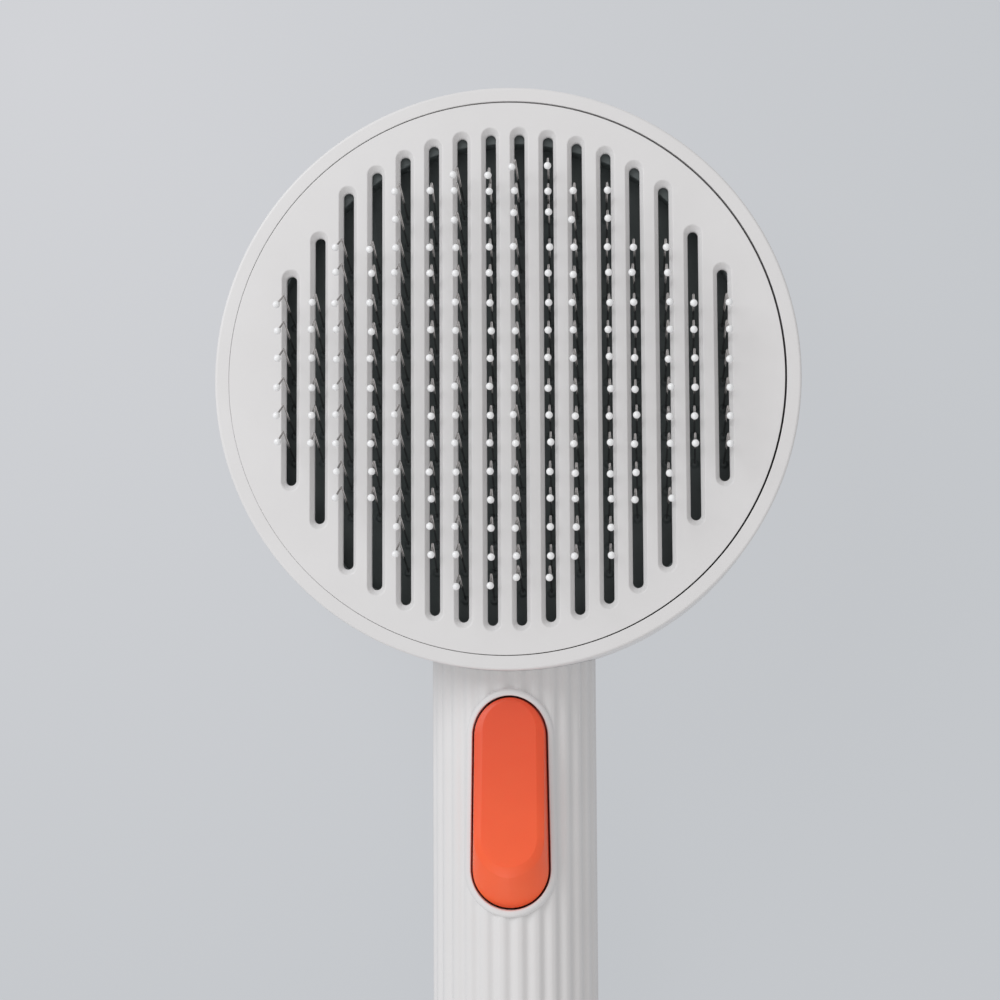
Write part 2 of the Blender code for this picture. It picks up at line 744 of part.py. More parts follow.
def make_handle_front_shell():
    shell = half_tube("handle_front_shell", True)
    half = OPENING_HALF_WIDTH + BEZEL_WIDTH
    low, high = OPENING_LOW_Y - BEZEL_WIDTH, OPENING_HEAD_Y + BEZEL_WIDTH
    start, end = (0, low - MARGIN, HANDLE_Z), (0, high + MARGIN, HANDLE_Z)
    bezel = rod("bezel", start, end, HANDLE_R + BEZEL_HEIGHT, ROUND_STEPS)
    outline = stadium(half, low, high, BUTTON_STEPS)
    trim = loft("trim", [level(outline, CUT_LOW_Z), level(outline, CUT_HIGH_Z)])
    bezel = combine(bezel, "INTERSECT", [trim])
    shell = cut(join(shell, bezel), handle_bore())
    pieces = []
    for side in (-1, 1):
        xs = sorted((side * LUG_INNER_X, side * (HANDLE_BORE_R - BOSS_ROOT)))
        low_y, high_y = PIVOT_Y - LEVER_HUB_R, PIVOT_Y + LEVER_HUB_R
        pieces.append(box("lug", (xs[0], low_y, LUG_LOW_Z), (xs[1], high_y, LUG_HIGH_Z)))
    boss_low, boss_high = HANDLE_Z + GAP / 2, HANDLE_Z + HANDLE_BORE_R + BOSS_ROOT
    for y in HANDLE_SCREW_YS:
        pieces.append(upright("boss", 0, y, boss_low, boss_high, HANDLE_BOSS_R))
    shell = join(shell, *pieces)
    start, end = (-PIN_WAY_HALF, PIVOT_Y, PIVOT_Z), (PIN_WAY_HALF, PIVOT_Y, PIVOT_Z)
    ways = [opening_cutter(), rod("pin_way", start, end, PIVOT_PIN_R + GAP), head_envelope("head")]
    low, high = HANDLE_Z - MARGIN, HANDLE_SCREW_TIP_Z + MARGIN / 2
    for y in HANDLE_SCREW_YS:
        ways.append(upright("hole", 0, y, low, high, HOLE_R, SCREW_STEPS))
    return finish(cut(shell, *ways), WHITE)


def make_handle_rear_shell():
    shell = cut(half_tube("handle_rear_shell", False), handle_bore())
    bosses = []
    ways = [head_envelope("head")]
    for y in HANDLE_SCREW_YS:
        boss_r = HEAD_R + GAP + LIP_THICKNESS
        bosses.append(upright("boss", 0, y, HEAD_WAY_FLOOR_Z, HANDLE_Z - GAP / 2, boss_r))
        ways.append(upright("head_way", 0, y, -MARGIN, HANDLE_SCREW_SEAT_Z, HEAD_R + GAP))
        ways.append(upright("hole", 0, y, HANDLE_SCREW_SEAT_Z - MARGIN, CUT_LOW_Z, HOLE_R, SCREW_STEPS))
    ways.append(upright("head_way", 0, neck_screw_y(), -MARGIN, HEAD_WAY_FLOOR_Z, HEAD_R + GAP))
    ways.append(upright("hole", 0, neck_screw_y(), 0.0, NECK_TIP_Z + MARGIN, HOLE_R, SCREW_STEPS))
    return finish(cut(join(shell, *bosses), *ways), WHITE)


def make_end_cap():
    plug_r = HANDLE_BORE_R - GAP
    edge = CAP_LENGTH - CAP_FLAT
    profile = [(0.0, CAP_LENGTH)]
    for i in range(BACK_ARC_STEPS + 1):
        angle = math.pi / 2 * (1 - i / BACK_ARC_STEPS)
        radius = HANDLE_R - edge + edge * math.cos(angle)
        profile.append((radius, CAP_LENGTH - edge + edge * math.sin(angle)))
    profile += [
        (HANDLE_R, 0.0),
        (plug_r, 0.0),
        (plug_r, -PLUG_LENGTH),
        (plug_r - PLUG_WALL, -PLUG_LENGTH),
        (plug_r - PLUG_WALL, CAP_WALL),
        (0.0, CAP_WALL),
    ]
    cap = revolve("end_cap", profile, (0.0, 0.0), END_CAP_STEPS)
    lay_down = Matrix.Rotation(math.pi / 2, 4, "X")
    cap.data.transform(Matrix.Translation((0.0, -LENGTH / 2 + CAP_LENGTH, HANDLE_Z)) @ lay_down)
    return finish(cap, WHITE)


def button_top_z(y):
    head_y, low_y = button_ends(0.0)[1], button_ends(1.0)[0]
    share = (head_y - y) / (head_y - low_y)
    return BUTTON_FLUSH_Z + (BUTTON_PROUD_Z - BUTTON_FLUSH_Z) * share


def button_ends(share):
    """Y of the button's low and head ends, this share of the way from its shoulder to its top."""
    low = OPENING_LOW_Y + GAP + BUTTON_END_RUN * share
    high = OPENING_HEAD_Y - GAP - BUTTON_DRAFT * share
    return low, high


def button_ring(share, inset):
    """An outline on the button's side, a share of the way up from its shoulder to its top."""
    low, high = button_ends(share)
    half = OPENING_HALF_WIDTH - GAP - BUTTON_DRAFT * share - inset
    outline = stadium(half, low + inset, high - inset, BUTTON_STEPS)
    rise = [(button_top_z(y) - BUTTON_SHOULDER_Z) * share for _, y in outline]
    return [(x, y, BUTTON_SHOULDER_Z + up) for (x, y), up in zip(outline, rise)]


def pivot():
    return (0.0, PIVOT_Y, PIVOT_Z)


def make_button():
    foot = [(x, y, BUTTON_BOTTOM_Z) for x, y, _ in button_ring(0.0, 0.0)]
    side = [button_ring(share, BUTTON_FILLET * inset) for share, inset in BUTTON_SIDE]
    button = loft("button", [foot, *side])
    mouth = [(x, y, BUTTON_BOTTOM_Z - MARGIN) for x, y, _ in button_ring(0.0, BUTTON_WALL)]
    roof = [(x, y, button_top_z(y) - BUTTON_WALL) for x, y, _ in button_ring(1.0, BUTTON_WALL)]
    return finish(cut(button, loft("hollow", [mouth, roof])), ORANGE, pivot())


def arc(centre_y, centre_z, radius, start, end, steps):
    points = []
    for i in range(steps + 1):
        angle = math.radians(start + (end - start) * i / steps)
        points.append((centre_y + radius * math.cos(angle), centre_z + radius * math.sin(angle)))
    return points


def make_rocker_lever():
    """A flat-sided lever: the bed under the button, the hub, and the long arm with its round nose."""
    nose_z = FRAME_TOP_Z - FRAME_THICKNESS - GAP - LEVER_NOSE_R
    bed_low_y = OPENING_LOW_Y + LEVER_BED_INSET_LOW
    bed_head_y = OPENING_HEAD_Y - LEVER_BED_INSET_HEAD
    under_button = BUTTON_WALL + GAP
    hub_low_y, hub_high_y = PIVOT_Y - LEVER_HUB_R, PIVOT_Y + LEVER_HUB_R
    outline = [(bed_head_y, LEVER_BED_HEAD_Z), (bed_head_y, button_top_z(bed_head_y) - under_button)]
    outline += [(bed_low_y, button_top_z(bed_low_y) - under_button), (bed_low_y, LEVER_BED_LOW_Z)]
    outline += [(hub_low_y, z) for z in LEVER_HUB_NEAR_Z]
    outline.append(LEVER_KNEE_UNDER)
    outline += arc(HEAD_Y, nose_z, LEVER_NOSE_R, *LEVER_NOSE_ARC)
    outline.append((HEAD_Y - FRAME_HUB_R - LEVER_NECK[0], nose_z + LEVER_NECK[1]))
    outline.append(LEVER_KNEE_OVER)
    outline += [(hub_high_y, z) for z in LEVER_HUB_FAR_Z]
    sideways = Matrix(((0, 0, 1, 0), (1, 0, 0, 0), (0, 1, 0, 0), (0, 0, 0, 1)))
    lever = extrude("rocker_lever", outline, -LEVER_HALF_WIDTH, LEVER_HALF_WIDTH, sideways)
    hole_half = PIVOT_PIN_HALF
    hole = rod("hole", (-hole_half, PIVOT_Y, PIVOT_Z), (hole_half, PIVOT_Y, PIVOT_Z), PIVOT_PIN_R + GAP)
    return finish(cut(lever, hole), GREY, pivot())


def make_pivot_pin():
    start, end = (-PIVOT_PIN_HALF, PIVOT_Y, PIVOT_Z), (PIVOT_PIN_HALF, PIVOT_Y, PIVOT_Z)
    pin = rod("pivot_pin", start, end, PIVOT_PIN_R)
    return finish(pin, STEEL, pivot())


def make_fasteners():
    frame_under_z = FRAME_TOP_Z - FRAME_THICKNESS
    for number, (x, y) in enumerate(post_places(), 1):
        screw(f"post_screw_{number}", x, y, frame_under_z - GAP, POST_SCREW_TIP_Z, origin=plate_origin())
    for number, degrees in enumerate(BASE_SCREW_ANGLES, 1):
        x, y = around_head(BASE_SCREW_R, degrees)
        screw(f"base_screw_{number}", x, y, LEDGE_TOP_Z - LEDGE_THICKNESS - GAP, BASE_SCREW_TIP_Z)
    for number, degrees in enumerate(CASE_SCREW_ANGLES, 1):
        x, y = around_head(CASE_SCREW_R, degrees)
        screw(f"case_screw_{number}", x, y, CASE_SCREW_SEAT_Z - GAP, LEDGE_TOP_Z, recess=SCREW_RECESS)
    backer_under_z = BASE_FLOOR_Z - BASE_FLOOR_THICKNESS - GAP - BACKER_THICKNESS
    for number, (x, y) in enumerate(backer_screw_places(), 1):
        screw(f"backer_screw_{number}", x, y, backer_under_z - GAP, BASE_FLOOR_Z - BACKER_SCREW_TIP_DEPTH)
    for number, y in enumerate(HANDLE_SCREW_YS, 1):
        seat_z = HANDLE_SCREW_SEAT_Z - GAP
        screw(f"handle_screw_{number}", 0.0, y, seat_z, HANDLE_SCREW_TIP_Z, recess=SCREW_RECESS)
    make_neck_screw()


def make_neck_screw():
    """A flat-headed screw that fixes the handle's rear shell to the cover's tongue."""
    low, seat = NECK_HEAD_Z
    tip = NECK_TIP_Z
    profile = [(0.0, tip), (SHANK_R, tip - SHANK_R), (SHANK_R, seat)]
    profile += [(HEAD_R, seat), (HEAD_R, low), (0.0, low)]
    return finish(revolve("neck_screw", profile, (0.0, neck_screw_y()), SCREW_STEPS), ZINC)


def build():
    make_front_housing()
    make_rear_cover()
    make_face_plate()
    make_needle_base()
    make_needle_backer()
    for number, (x, count) in enumerate(pin_columns(), 1):
        make_pin_row(number, x, count)
    for number, (x, y) in enumerate(post_places(), 1):
        make_return_spring(number, x, y)
    make_lift_frame()
    make_handle_front_shell()
    make_handle_rear_shell()
    make_end_cap()
    make_rocker_lever()
    make_pivot_pin()
    make_button()
    make_fasteners()


clear_scene()
parts = new_collection(OBJECT_NAME)
materials = {name: new_material(name, *values) for name, values in MATERIALS.items()}
build()
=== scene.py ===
"""The slicker brush of the photograph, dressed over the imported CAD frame.

Every piece rides on the CAD body that carries it: the head, the pins and the handle on the
housing, the slotted plate on the plate, and the button on the lever. Lengths are in metres.
"""

import math
import random

import bmesh
import bpy
from mathutils import Matrix, Vector


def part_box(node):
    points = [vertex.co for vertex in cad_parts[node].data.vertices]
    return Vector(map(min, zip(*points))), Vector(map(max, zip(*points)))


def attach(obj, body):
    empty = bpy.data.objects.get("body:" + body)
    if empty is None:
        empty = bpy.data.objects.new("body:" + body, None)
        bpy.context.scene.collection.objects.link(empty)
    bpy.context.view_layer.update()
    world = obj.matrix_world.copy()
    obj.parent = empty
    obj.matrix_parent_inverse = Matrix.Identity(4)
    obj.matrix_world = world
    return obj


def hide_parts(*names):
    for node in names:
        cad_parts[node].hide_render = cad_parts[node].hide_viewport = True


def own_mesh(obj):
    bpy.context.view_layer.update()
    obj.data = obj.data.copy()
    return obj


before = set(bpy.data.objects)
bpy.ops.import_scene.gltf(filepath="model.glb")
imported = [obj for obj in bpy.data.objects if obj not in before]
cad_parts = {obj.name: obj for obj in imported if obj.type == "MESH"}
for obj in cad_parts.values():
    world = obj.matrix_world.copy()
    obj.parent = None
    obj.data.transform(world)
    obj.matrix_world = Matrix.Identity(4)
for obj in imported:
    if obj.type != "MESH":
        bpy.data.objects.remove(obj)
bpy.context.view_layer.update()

HOUSING, PLATE, LEVER = "housing", "plate", "lever"

# How finely round shapes are made
ROUND = 192
SMALL_ROUND = 32
ARC_STEPS = 8
MARGIN = 0.001
TINY = 1e-6
SHARP_ANGLE = math.radians(38)

# Places and sizes read from the frame
head_low, head_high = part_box("front_housing")
plate_low, plate_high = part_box("face_plate")
base_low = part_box("needle_base")[0]
handle_low, handle_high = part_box("handle_rear_shell")
cap_low, cap_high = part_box("end_cap")
pin_low, pin_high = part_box("pivot_pin")
HEAD = Vector(((head_low.x + head_high.x) / 2, (head_low.y + head_high.y) / 2, 0.0))
RING_R = (head_high.x - head_low.x) / 2
RING_TOP_Z = head_high.z
PLATE_R = (plate_high.x - plate_low.x) / 2
HANDLE_R = (handle_high.x - handle_low.x) / 2
HANDLE_Z = HANDLE_R
HANDLE_END_Y = handle_low.y
CAP_LENGTH = cap_high.y - cap_low.y
PIVOT = (pin_low + pin_high) / 2

# Head shell
GAP = 0.0003
RING_WIDTH = 0.0025
RING_BORE_R = RING_R - RING_WIDTH
RING_FILLET = 0.0005
BORE_FILLET = 0.00012
SPLIT_Z = 0.02245
LIP_THICKNESS = 0.0012
LEDGE_INNER_R = 0.0412
LEDGE_Z = (0.0224, 0.0247)
SPRING_WAY_R = 0.0034
BACK_R = 0.012
BACK_WALL = 0.002
BACK_STEPS = 14
COVER_BOSS_R = 0.0033
COVER_BOSS_LOW_Z = 0.006
TONGUE_OUT = 0.0055
TONGUE_IN = 0.008
TONGUE_WALL = 0.0018
TONGUE_TOP_DROP = 0.0012
LEVER_WAY_HALF_WIDTH = 0.005
LEVER_WAY_Y = (-0.004, 0.0085)
LEVER_WAY_LOW_Z = 0.0085

# Plate
PLATE_THICKNESS = 0.0018
PLATE_FILLET = 0.00014
PLATE_FIT = 0.00022
PLATE_SHIFT = Vector((-0.00016, -0.00006, 0.0))
SKIRT_THICKNESS = 0.00125
SKIRT_BOTTOM_Z = 0.028
SLOT_HALF_WIDTH = 0.0009
SLOT_CHAMFER = 0.0007
SLOT_STEEPNESS = 1.6
SLOT_END_SPREAD = 1.45
SLOT_LIP_R = 0.00028
SLOT_THROAT_R = 0.0003
SLOT_FIELD_R = 0.0430
SLOT_FIELD_Y = -0.00025
SLOT_END_STEPS = 20
SLOT_TURN = 45.0
SLOT_LIP_STOP = 8.0
SLOT_THROAT_STEPS = 4
SLOT_LIP_STEPS = 5
OUTER_SLOT_HALF_LENGTHS = (0.0251, 0.0184)
INNER_SLOTS = 6
POST_R = 0.0016

# Pin bed
FLOOR_Z = 0.029
FLOOR_SKIN = 0.0005
FLOOR_UNDER_Z = 0.0266
UNDER_R = 0.0413
TRAY_R = 0.0423
TRAY_SHIFT = Vector((0.0, -0.0010, 0.0))
TRAY_EDGE = 0.0003
RIM_TOP_Z = 0.0327
FLANGE_TOP_Z = 0.0275
STRIP_HALF_WIDTH = 0.0006
BOSS_R = (0.00085, 0.00045)
BOSS_HEIGHT = 0.0004
BOSS_STEPS = 12

# Pins
PIN_PITCH = 0.0048
PIN_STRIP_END = 0.001
PIN_WIRE_R = 0.000175
PIN_BALL_R = 0.00063
PIN_BEND = Vector((0.0, 0.0043, 0.0105))
PIN_TIP = Vector((0.0, 0.0021, 0.0141))
PIN_BEND_RUN = 0.0005
PIN_BEND_STEPS = 6
BEND_LEAN_SHARE = 0.7
BEND_REACH = SLOT_HALF_WIDTH - PIN_WIRE_R - 0.00025
PIN_SIDES = 10
BALL_SIDES = 20
PIN_LEAN = -0.00015
PIN_LEAN_ALTERNATE = 0.00042
PIN_LEAN_SPREAD = 0.012
PIN_ROW_SKEW = -0.014
ROW_JITTER = 0.00025
PIN_JITTER = 0.00012
LONG_ROW = 16
TOP_PIN_DROP = 0.0008
SHORT_TOP_DROP = 0.0021
LAST_PIN_LIFT = 0.0014
THIRD_PIN_LIFT = 0.0011
JITTER_SEED = 7
PIN_ROOT_DEPTH = 0.0012
# (distance along from the ball's centre, radius) of the neck below the ball, as shares of its radius
NECK_SECTIONS = ((-1.55, 0.30), (-1.25, 0.36), (-1.02, 0.47))
BALL_DEGREES = (-50, -35, -20, -5, 10, 25, 40, 55, 70, 82)

# Handle
FLUTES = 30
FLUTE_DEPTH = 0.00042
FLUTE_HALF = 0.42
FLUTE_STEPS = 12
HANDLE_WALL = 0.0022
HANDLE_HEAD_Y = 0.016
HEAD_FIT = 0.00003
BORE_R = HANDLE_R - HANDLE_WALL
CAP_FLAT = 0.0003
PLUG_LENGTH = 0.005
PLUG_WALL = 0.0018
PLUG_FLOOR = 0.0015
SCREW_WAY_TOP_Z = 0.0095
FRONT_BOSS_R = 0.0028
REAR_BOSS_WALL = 0.0015
NECK_SEAT_Z = 0.0012
LUG_INNER_X = 0.0043
LUG_HALF_LENGTH = 0.003
LUG_LOW_RISE = 0.0024
LUG_HIGH_Z = 0.0232
PIN_WAY_HALF_LENGTH = 0.0105
PIN_WAY_R = 0.00155

# Button and bezel
OPENING_HALF_WIDTH = 0.00702
OPENING_HEAD_Y = HEAD.y - 0.0551
OPENING_LOW_Y = HEAD.y - 0.0919
OPENING_FLOOR_Z = 0.0238
BEZEL_UNDERLAP = 0.0003
# (distance out from the opening, height over the handle) round the bezel's section
BEZEL_SECTION = (
    (0.0, -0.0012), (0.0, 0.0002), (0.00005, 0.00036), (0.00016, 0.00046), (0.0003, 0.0005),
    (0.0007, 0.0005), (0.00092, 0.00042), (0.0011, 0.00024), (0.0012, 0.0), (0.00125, -0.0004),
    (0.00125, -0.0012),
)
BUTTON_BOTTOM_Z = 0.024
BUTTON_SHOULDER_Z = 0.0284
BUTTON_FLUSH_Z = 0.0296
BUTTON_PROUD_Z = 0.0337
BUTTON_END_RUN = 0.0054
BUTTON_GAP = 0.00035
BUTTON_DRAFT_SLOPE = 0.12
BUTTON_TAPER = 0.085
BUTTON_BAND_SIDE = 0.00135
BUTTON_BAND_LOW = 0.0019
BUTTON_BAND_HEAD = 0.00057
BUTTON_BAND_DROP = (0.0003, 0.0009)
BUTTON_EDGE_HEIGHT = 0.003
BUTTON_SIDE_SHARES = (0.0, 0.02, 0.25, 0.5, 0.75, 0.97, 1.0)
BUTTON_EDGE_BULGE = 0.35
BUTTON_TOP_INSET = 0.00008
BUTTON_HOLLOW_INSET = 0.0003
# A weak glow stands for the light that comes through the plastic
BUTTON_GLOW = (1.0, 0.12, 0.10, 1.0)
BUTTON_GLOW_STRENGTH = 0.05
# Painted shade: the button's base colour darkens towards this at its head end, next to the head
BUTTON_HEAD_PAINTED_SHADE = (0.70, 0.070, 0.016)
BUTTON_WALL = 0.0016
BUTTON_STEPS = 36
BUTTON_EDGE_STEPS = (0.03, 0.12, 0.3, 0.5, 0.7, 0.88, 0.97, 1.0)

# Screws
SHANK_R = 0.0008
SCREW_HEAD_R = 0.0019
SCREW_HEAD = 0.0015
SHORT_HEAD = 0.0007
THREAD_DEPTH = 0.00018
THREAD_PITCH = 0.0008
CROSS_HALF = 0.00028
CROSS_REACH = 0.0011
CROSS_DEPTH = 0.0006
CROSS_DEPTH_SHARE = 0.6
HEAD_FLAT_SHARE = 0.55
HEAD_DOME_SHARE = 0.45
HEAD_STEPS = 6
THREAD_RISE = 0.3
THREAD_STEP = 0.6
POINT_SHARE = 0.8

# Pivot pin and springs
PIVOT_PIN_EDGE = 0.0002
SPRING_TURNS = 4
SPRING_STEPS = 32
SPRING_SIDES = 12
SPRING_WIRE_R = 0.00035

# Materials
NOISE_LOW, NOISE_HIGH = 0.3, 0.7
GRAIN_DETAIL = 3.0
SUBSURFACE_RADIUS = (1.0, 0.3, 0.12)
SUBSURFACE_SCALE = 0.0012

# Camera, lights and floor
CAMERA_SLOPE_X = -0.0639
CAMERA_SLOPE_Y = 0.08839
CAMERA_ROLL = math.radians(0.27)
CAMERA_DISTANCE = 0.3784
CAMERA_AIM = (-0.0011, -0.02161)
CAMERA_LENS = 79.2
CAMERA_SENSOR = 36.0
CAMERA_CLIP = (0.01, 20.0)
WORLD_COLOUR = (1.0, 0.980, 0.972, 1.0)
WORLD_STRENGTH = 0.57
LIGHT_COLOUR = (0.97, 0.985, 1.0)
LIGHT_AIM_Y = 0.03
KEY_PLACE, KEY_SIZE, KEY_POWER = (-0.42, 0.42, 0.55), 0.50, 2.75
FRONT_PLACE, FRONT_SIZE, FRONT_POWER = (-0.15, -0.60, 0.45), 0.50, 1.0
STAGE_R = 3.0
STAGE_TOP_Z, STAGE_BOTTOM_Z = -0.0004, -0.02
# A painted pool of light on the floor: brightest at this spot, fading out to the far colour over this radius
STAGE_BRIGHT_SPOT = (-0.09, 0.12, 0.0)
STAGE_BRIGHT_R = 0.20
STAGE_BRIGHT, STAGE_FAR = (0.590, 0.598, 0.622), (0.508, 0.526, 0.550)
STAGE_BASE = (0.05, 0.051, 0.053, 1.0)
STAGE_ROUGHNESS = 0.9
STAGE_SPECULAR = 0.1


def link(obj):
    bpy.context.scene.collection.objects.link(obj)
    return obj


def solid(name, points, faces):
    """A mesh object from points and faces, with every face turned outwards."""
    data = bpy.data.meshes.new(name)
    data.from_pydata(points, [], faces)
    mesh = bmesh.new()
    mesh.from_mesh(data)
    bmesh.ops.recalc_face_normals(mesh, faces=mesh.faces)
    mesh.to_mesh(data)
    mesh.free()
    return link(bpy.data.objects.new(name, data))


def arc(centre, radius, start, end, steps):
    """Points from one angle to another, in degrees, round a centre."""
    points = []
    for i in range(steps + 1):
        angle = math.radians(start + (end - start) * i / steps)
        points.append((centre[0] + radius * math.cos(angle), centre[1] + radius * math.sin(angle)))
    return points


def spin(name, profile, centre=HEAD, steps=ROUND, closed=False):
    """Turns (radius, z) points about a vertical line. A point on the line is one vertex."""
    points, rows = [], []
    for radius, z in profile:
        if radius < TINY:
            rows.append([len(points)] * steps)
            points.append((centre[0], centre[1], z))
            continue
        rows.append(list(range(len(points), len(points) + steps)))
        for i in range(steps):
            angle = 2 * math.pi * (i + 0.5) / steps
            points.append((centre[0] + radius * math.cos(angle), centre[1] + radius * math.sin(angle), z))
    pairs = list(zip(rows, rows[1:]))
    if closed:
        pairs.append((rows[-1], rows[0]))
    faces = []
    for low, high in pairs:
        for i in range(steps):
            j = (i + 1) % steps
            face = list(dict.fromkeys((low[i], low[j], high[j], high[i])))
            if len(face) > 2:
                faces.append(face)
    return solid(name, points, faces)


def loft(name, rings, closed=False):
    """Rings with the same number of points, joined in turn. The ends are faced unless it is closed."""
    count = len(rings[0])
    points = [point for ring in rings for point in ring]
    faces = [] if closed else [list(range(count)), list(range(len(points) - count, len(points)))]
    pairs = [(i, i + 1) for i in range(len(rings) - 1)]
    if closed:
        pairs.append((len(rings) - 1, 0))
    for a, b in pairs:
        for i in range(count):
            j = (i + 1) % count
            faces.append([a * count + i, a * count + j, b * count + j, b * count + i])
    return solid(name, points, faces)


def box(name, low, high):
    corners = ((low[0], low[1]), (high[0], low[1]), (high[0], high[1]), (low[0], high[1]))
    return loft(name, [[(x, y, z) for x, y in corners] for z in (low[2], high[2])])


def upright(name, x, y, low, high, radius, steps=SMALL_ROUND):
    return spin(name, [(0.0, low), (radius, low), (radius, high), (0.0, high)], (x, y), steps)


def rod(name, start, end, profile, steps=SMALL_ROUND):
    """Turns (distance along, radius) points about the line from start towards end."""
    start, run = Vector(start), Vector(end) - Vector(start)
    turn = Vector((0.0, 0.0, 1.0)).rotation_difference(run).to_matrix().to_4x4()
    obj = spin(name, [(radius, along) for along, radius in profile], (0.0, 0.0), steps)
    obj.data.transform(Matrix.Translation(start) @ turn)
    return obj


def plain_rod(name, start, end, radius, steps=SMALL_ROUND):
    length = (Vector(end) - Vector(start)).length
    return rod(name, start, end, [(0.0, 0.0), (0.0, radius), (length, radius), (length, 0.0)], steps)


def stadium(half_width, low_y, high_y, steps, x=0.0):
    """An outline with straight sides along Y and round ends, anticlockwise."""
    points = []
    for end_y, start in ((high_y - half_width, 0.0), (low_y + half_width, 180.0)):
        points += arc((x, end_y), half_width, start, start + 180.0, steps)
    return points


def level(outline, z):
    return [(x, y, z) for x, y in outline]


def joined(name, objects):
    """One object that holds the meshes of several."""
    mesh = bmesh.new()
    for obj in objects:
        mesh.from_mesh(obj.data)
        bpy.data.objects.remove(obj)
    data = bpy.data.meshes.new(name)
    mesh.to_mesh(data)
    mesh.free()
    return link(bpy.data.objects.new(name, data))


def combine(obj, operation, other):
    modifier = obj.modifiers.new(operation, "BOOLEAN")
    modifier.operation = operation
    modifier.solver = "EXACT"
    modifier.object = other
    bpy.context.view_layer.update()
    graph = bpy.context.evaluated_depsgraph_get()
    data = bpy.data.meshes.new_from_object(obj.evaluated_get(graph))
    obj.modifiers.clear()
    obj.data = data
    bpy.data.objects.remove(other)
    return obj


def cut(obj, others):
    return combine(obj, "DIFFERENCE", joined("cutters", others))


def unite(obj, other):
    return combine(obj, "UNION", other)


def tube(parts, path, radii, across, sides):
    """Adds a round tube along a path to parts, which is (points, faces). Both ends are closed."""
    points, faces = parts
    start = len(points)
    for i, (place, radius) in enumerate(zip(path, radii)):
        along = (path[min(i + 1, len(path) - 1)] - path[max(i - 1, 0)]).normalized()
        u = (across - along * across.dot(along)).normalized()
        v = along.cross(u)
        for k in range(sides):
            angle = 2 * math.pi * k / sides
            points.append(place + (u * math.cos(angle) + v * math.sin(angle)) * radius)
    for i in range(len(path) - 1):
        for k in range(sides):
            low, high = start + i * sides, start + (i + 1) * sides
            faces.append([low + k, low + (k + 1) % sides, high + (k + 1) % sides, high + k])
    faces.append([start + k for k in range(sides)])
    faces.append([len(points) - sides + k for k in range(sides)])


def noise_node(tree, place, size, detail=2.0, stretch=None):
    """Noise with features of about this size, in metres. stretch scales it along each axis."""
    noise = tree.nodes.new("ShaderNodeTexNoise")
    noise.inputs["Scale"].default_value = 1.0 / size
    noise.inputs["Detail"].default_value = detail
    source = place
    if stretch:
        mapping = tree.nodes.new("ShaderNodeMapping")
        mapping.inputs["Scale"].default_value = stretch
        tree.links.new(place, mapping.inputs["Vector"])
        source = mapping.outputs["Vector"]
    tree.links.new(source, noise.inputs["Vector"])
    return noise.outputs["Fac"]


def ramp(tree, factor, low, high, output_low, output_high):
    node = tree.nodes.new("ShaderNodeMapRange")
    node.inputs["From Min"].default_value = low
    node.inputs["From Max"].default_value = high
    node.inputs["To Min"].default_value = output_low
    node.inputs["To Max"].default_value = output_high
    tree.links.new(factor, node.inputs["Value"])
    return node.outputs["Result"]


def blend_colours(tree, factor, first, second):
    """Blends two colours. The first one may be the output of another node."""
    mix = tree.nodes.new("ShaderNodeMix")
    mix.data_type = "RGBA"
    colours = [socket for socket in mix.inputs if socket.type == "RGBA"]
    if isinstance(first, bpy.types.NodeSocket):
        tree.links.new(first, colours[0])
    else:
        colours[0].default_value = (*first, 1.0)
    colours[1].default_value = (*second, 1.0)
    tree.links.new(factor, mix.inputs["Factor"])
    return next(socket for socket in mix.outputs if socket.type == "RGBA")


def finish_material(name, first, second, roughness, patch, grain, bump, metallic=0.0, stretch=None, coat=0.0,
                    subsurface=0.0):
    """A moulded or drawn surface: two near colours in soft patches, a fine grain in gloss and in relief."""
    material = bpy.data.materials.new(name)
    material.use_nodes = True
    tree = material.node_tree
    shader = tree.nodes["Principled BSDF"]
    place = tree.nodes.new("ShaderNodeTexCoord").outputs["Object"]
    patches = ramp(tree, noise_node(tree, place, patch), NOISE_LOW, NOISE_HIGH, 0.0, 1.0)
    tree.links.new(blend_colours(tree, patches, first, second), shader.inputs["Base Color"])
    fine = noise_node(tree, place, grain, GRAIN_DETAIL, stretch)
    gloss = ramp(tree, fine, NOISE_LOW, NOISE_HIGH, roughness[0], roughness[1])
    tree.links.new(gloss, shader.inputs["Roughness"])
    relief = tree.nodes.new("ShaderNodeBump")
    relief.inputs["Strength"].default_value = 1.0
    relief.inputs["Distance"].default_value = bump
    tree.links.new(fine, relief.inputs["Height"])
    tree.links.new(relief.outputs["Normal"], shader.inputs["Normal"])
    shader.inputs["Metallic"].default_value = metallic
    shader.inputs["Coat Weight"].default_value = coat
    shader.inputs["Subsurface Weight"].default_value = subsurface
    shader.inputs["Subsurface Radius"].default_value = SUBSURFACE_RADIUS
    shader.inputs["Subsurface Scale"].default_value = SUBSURFACE_SCALE
    return material


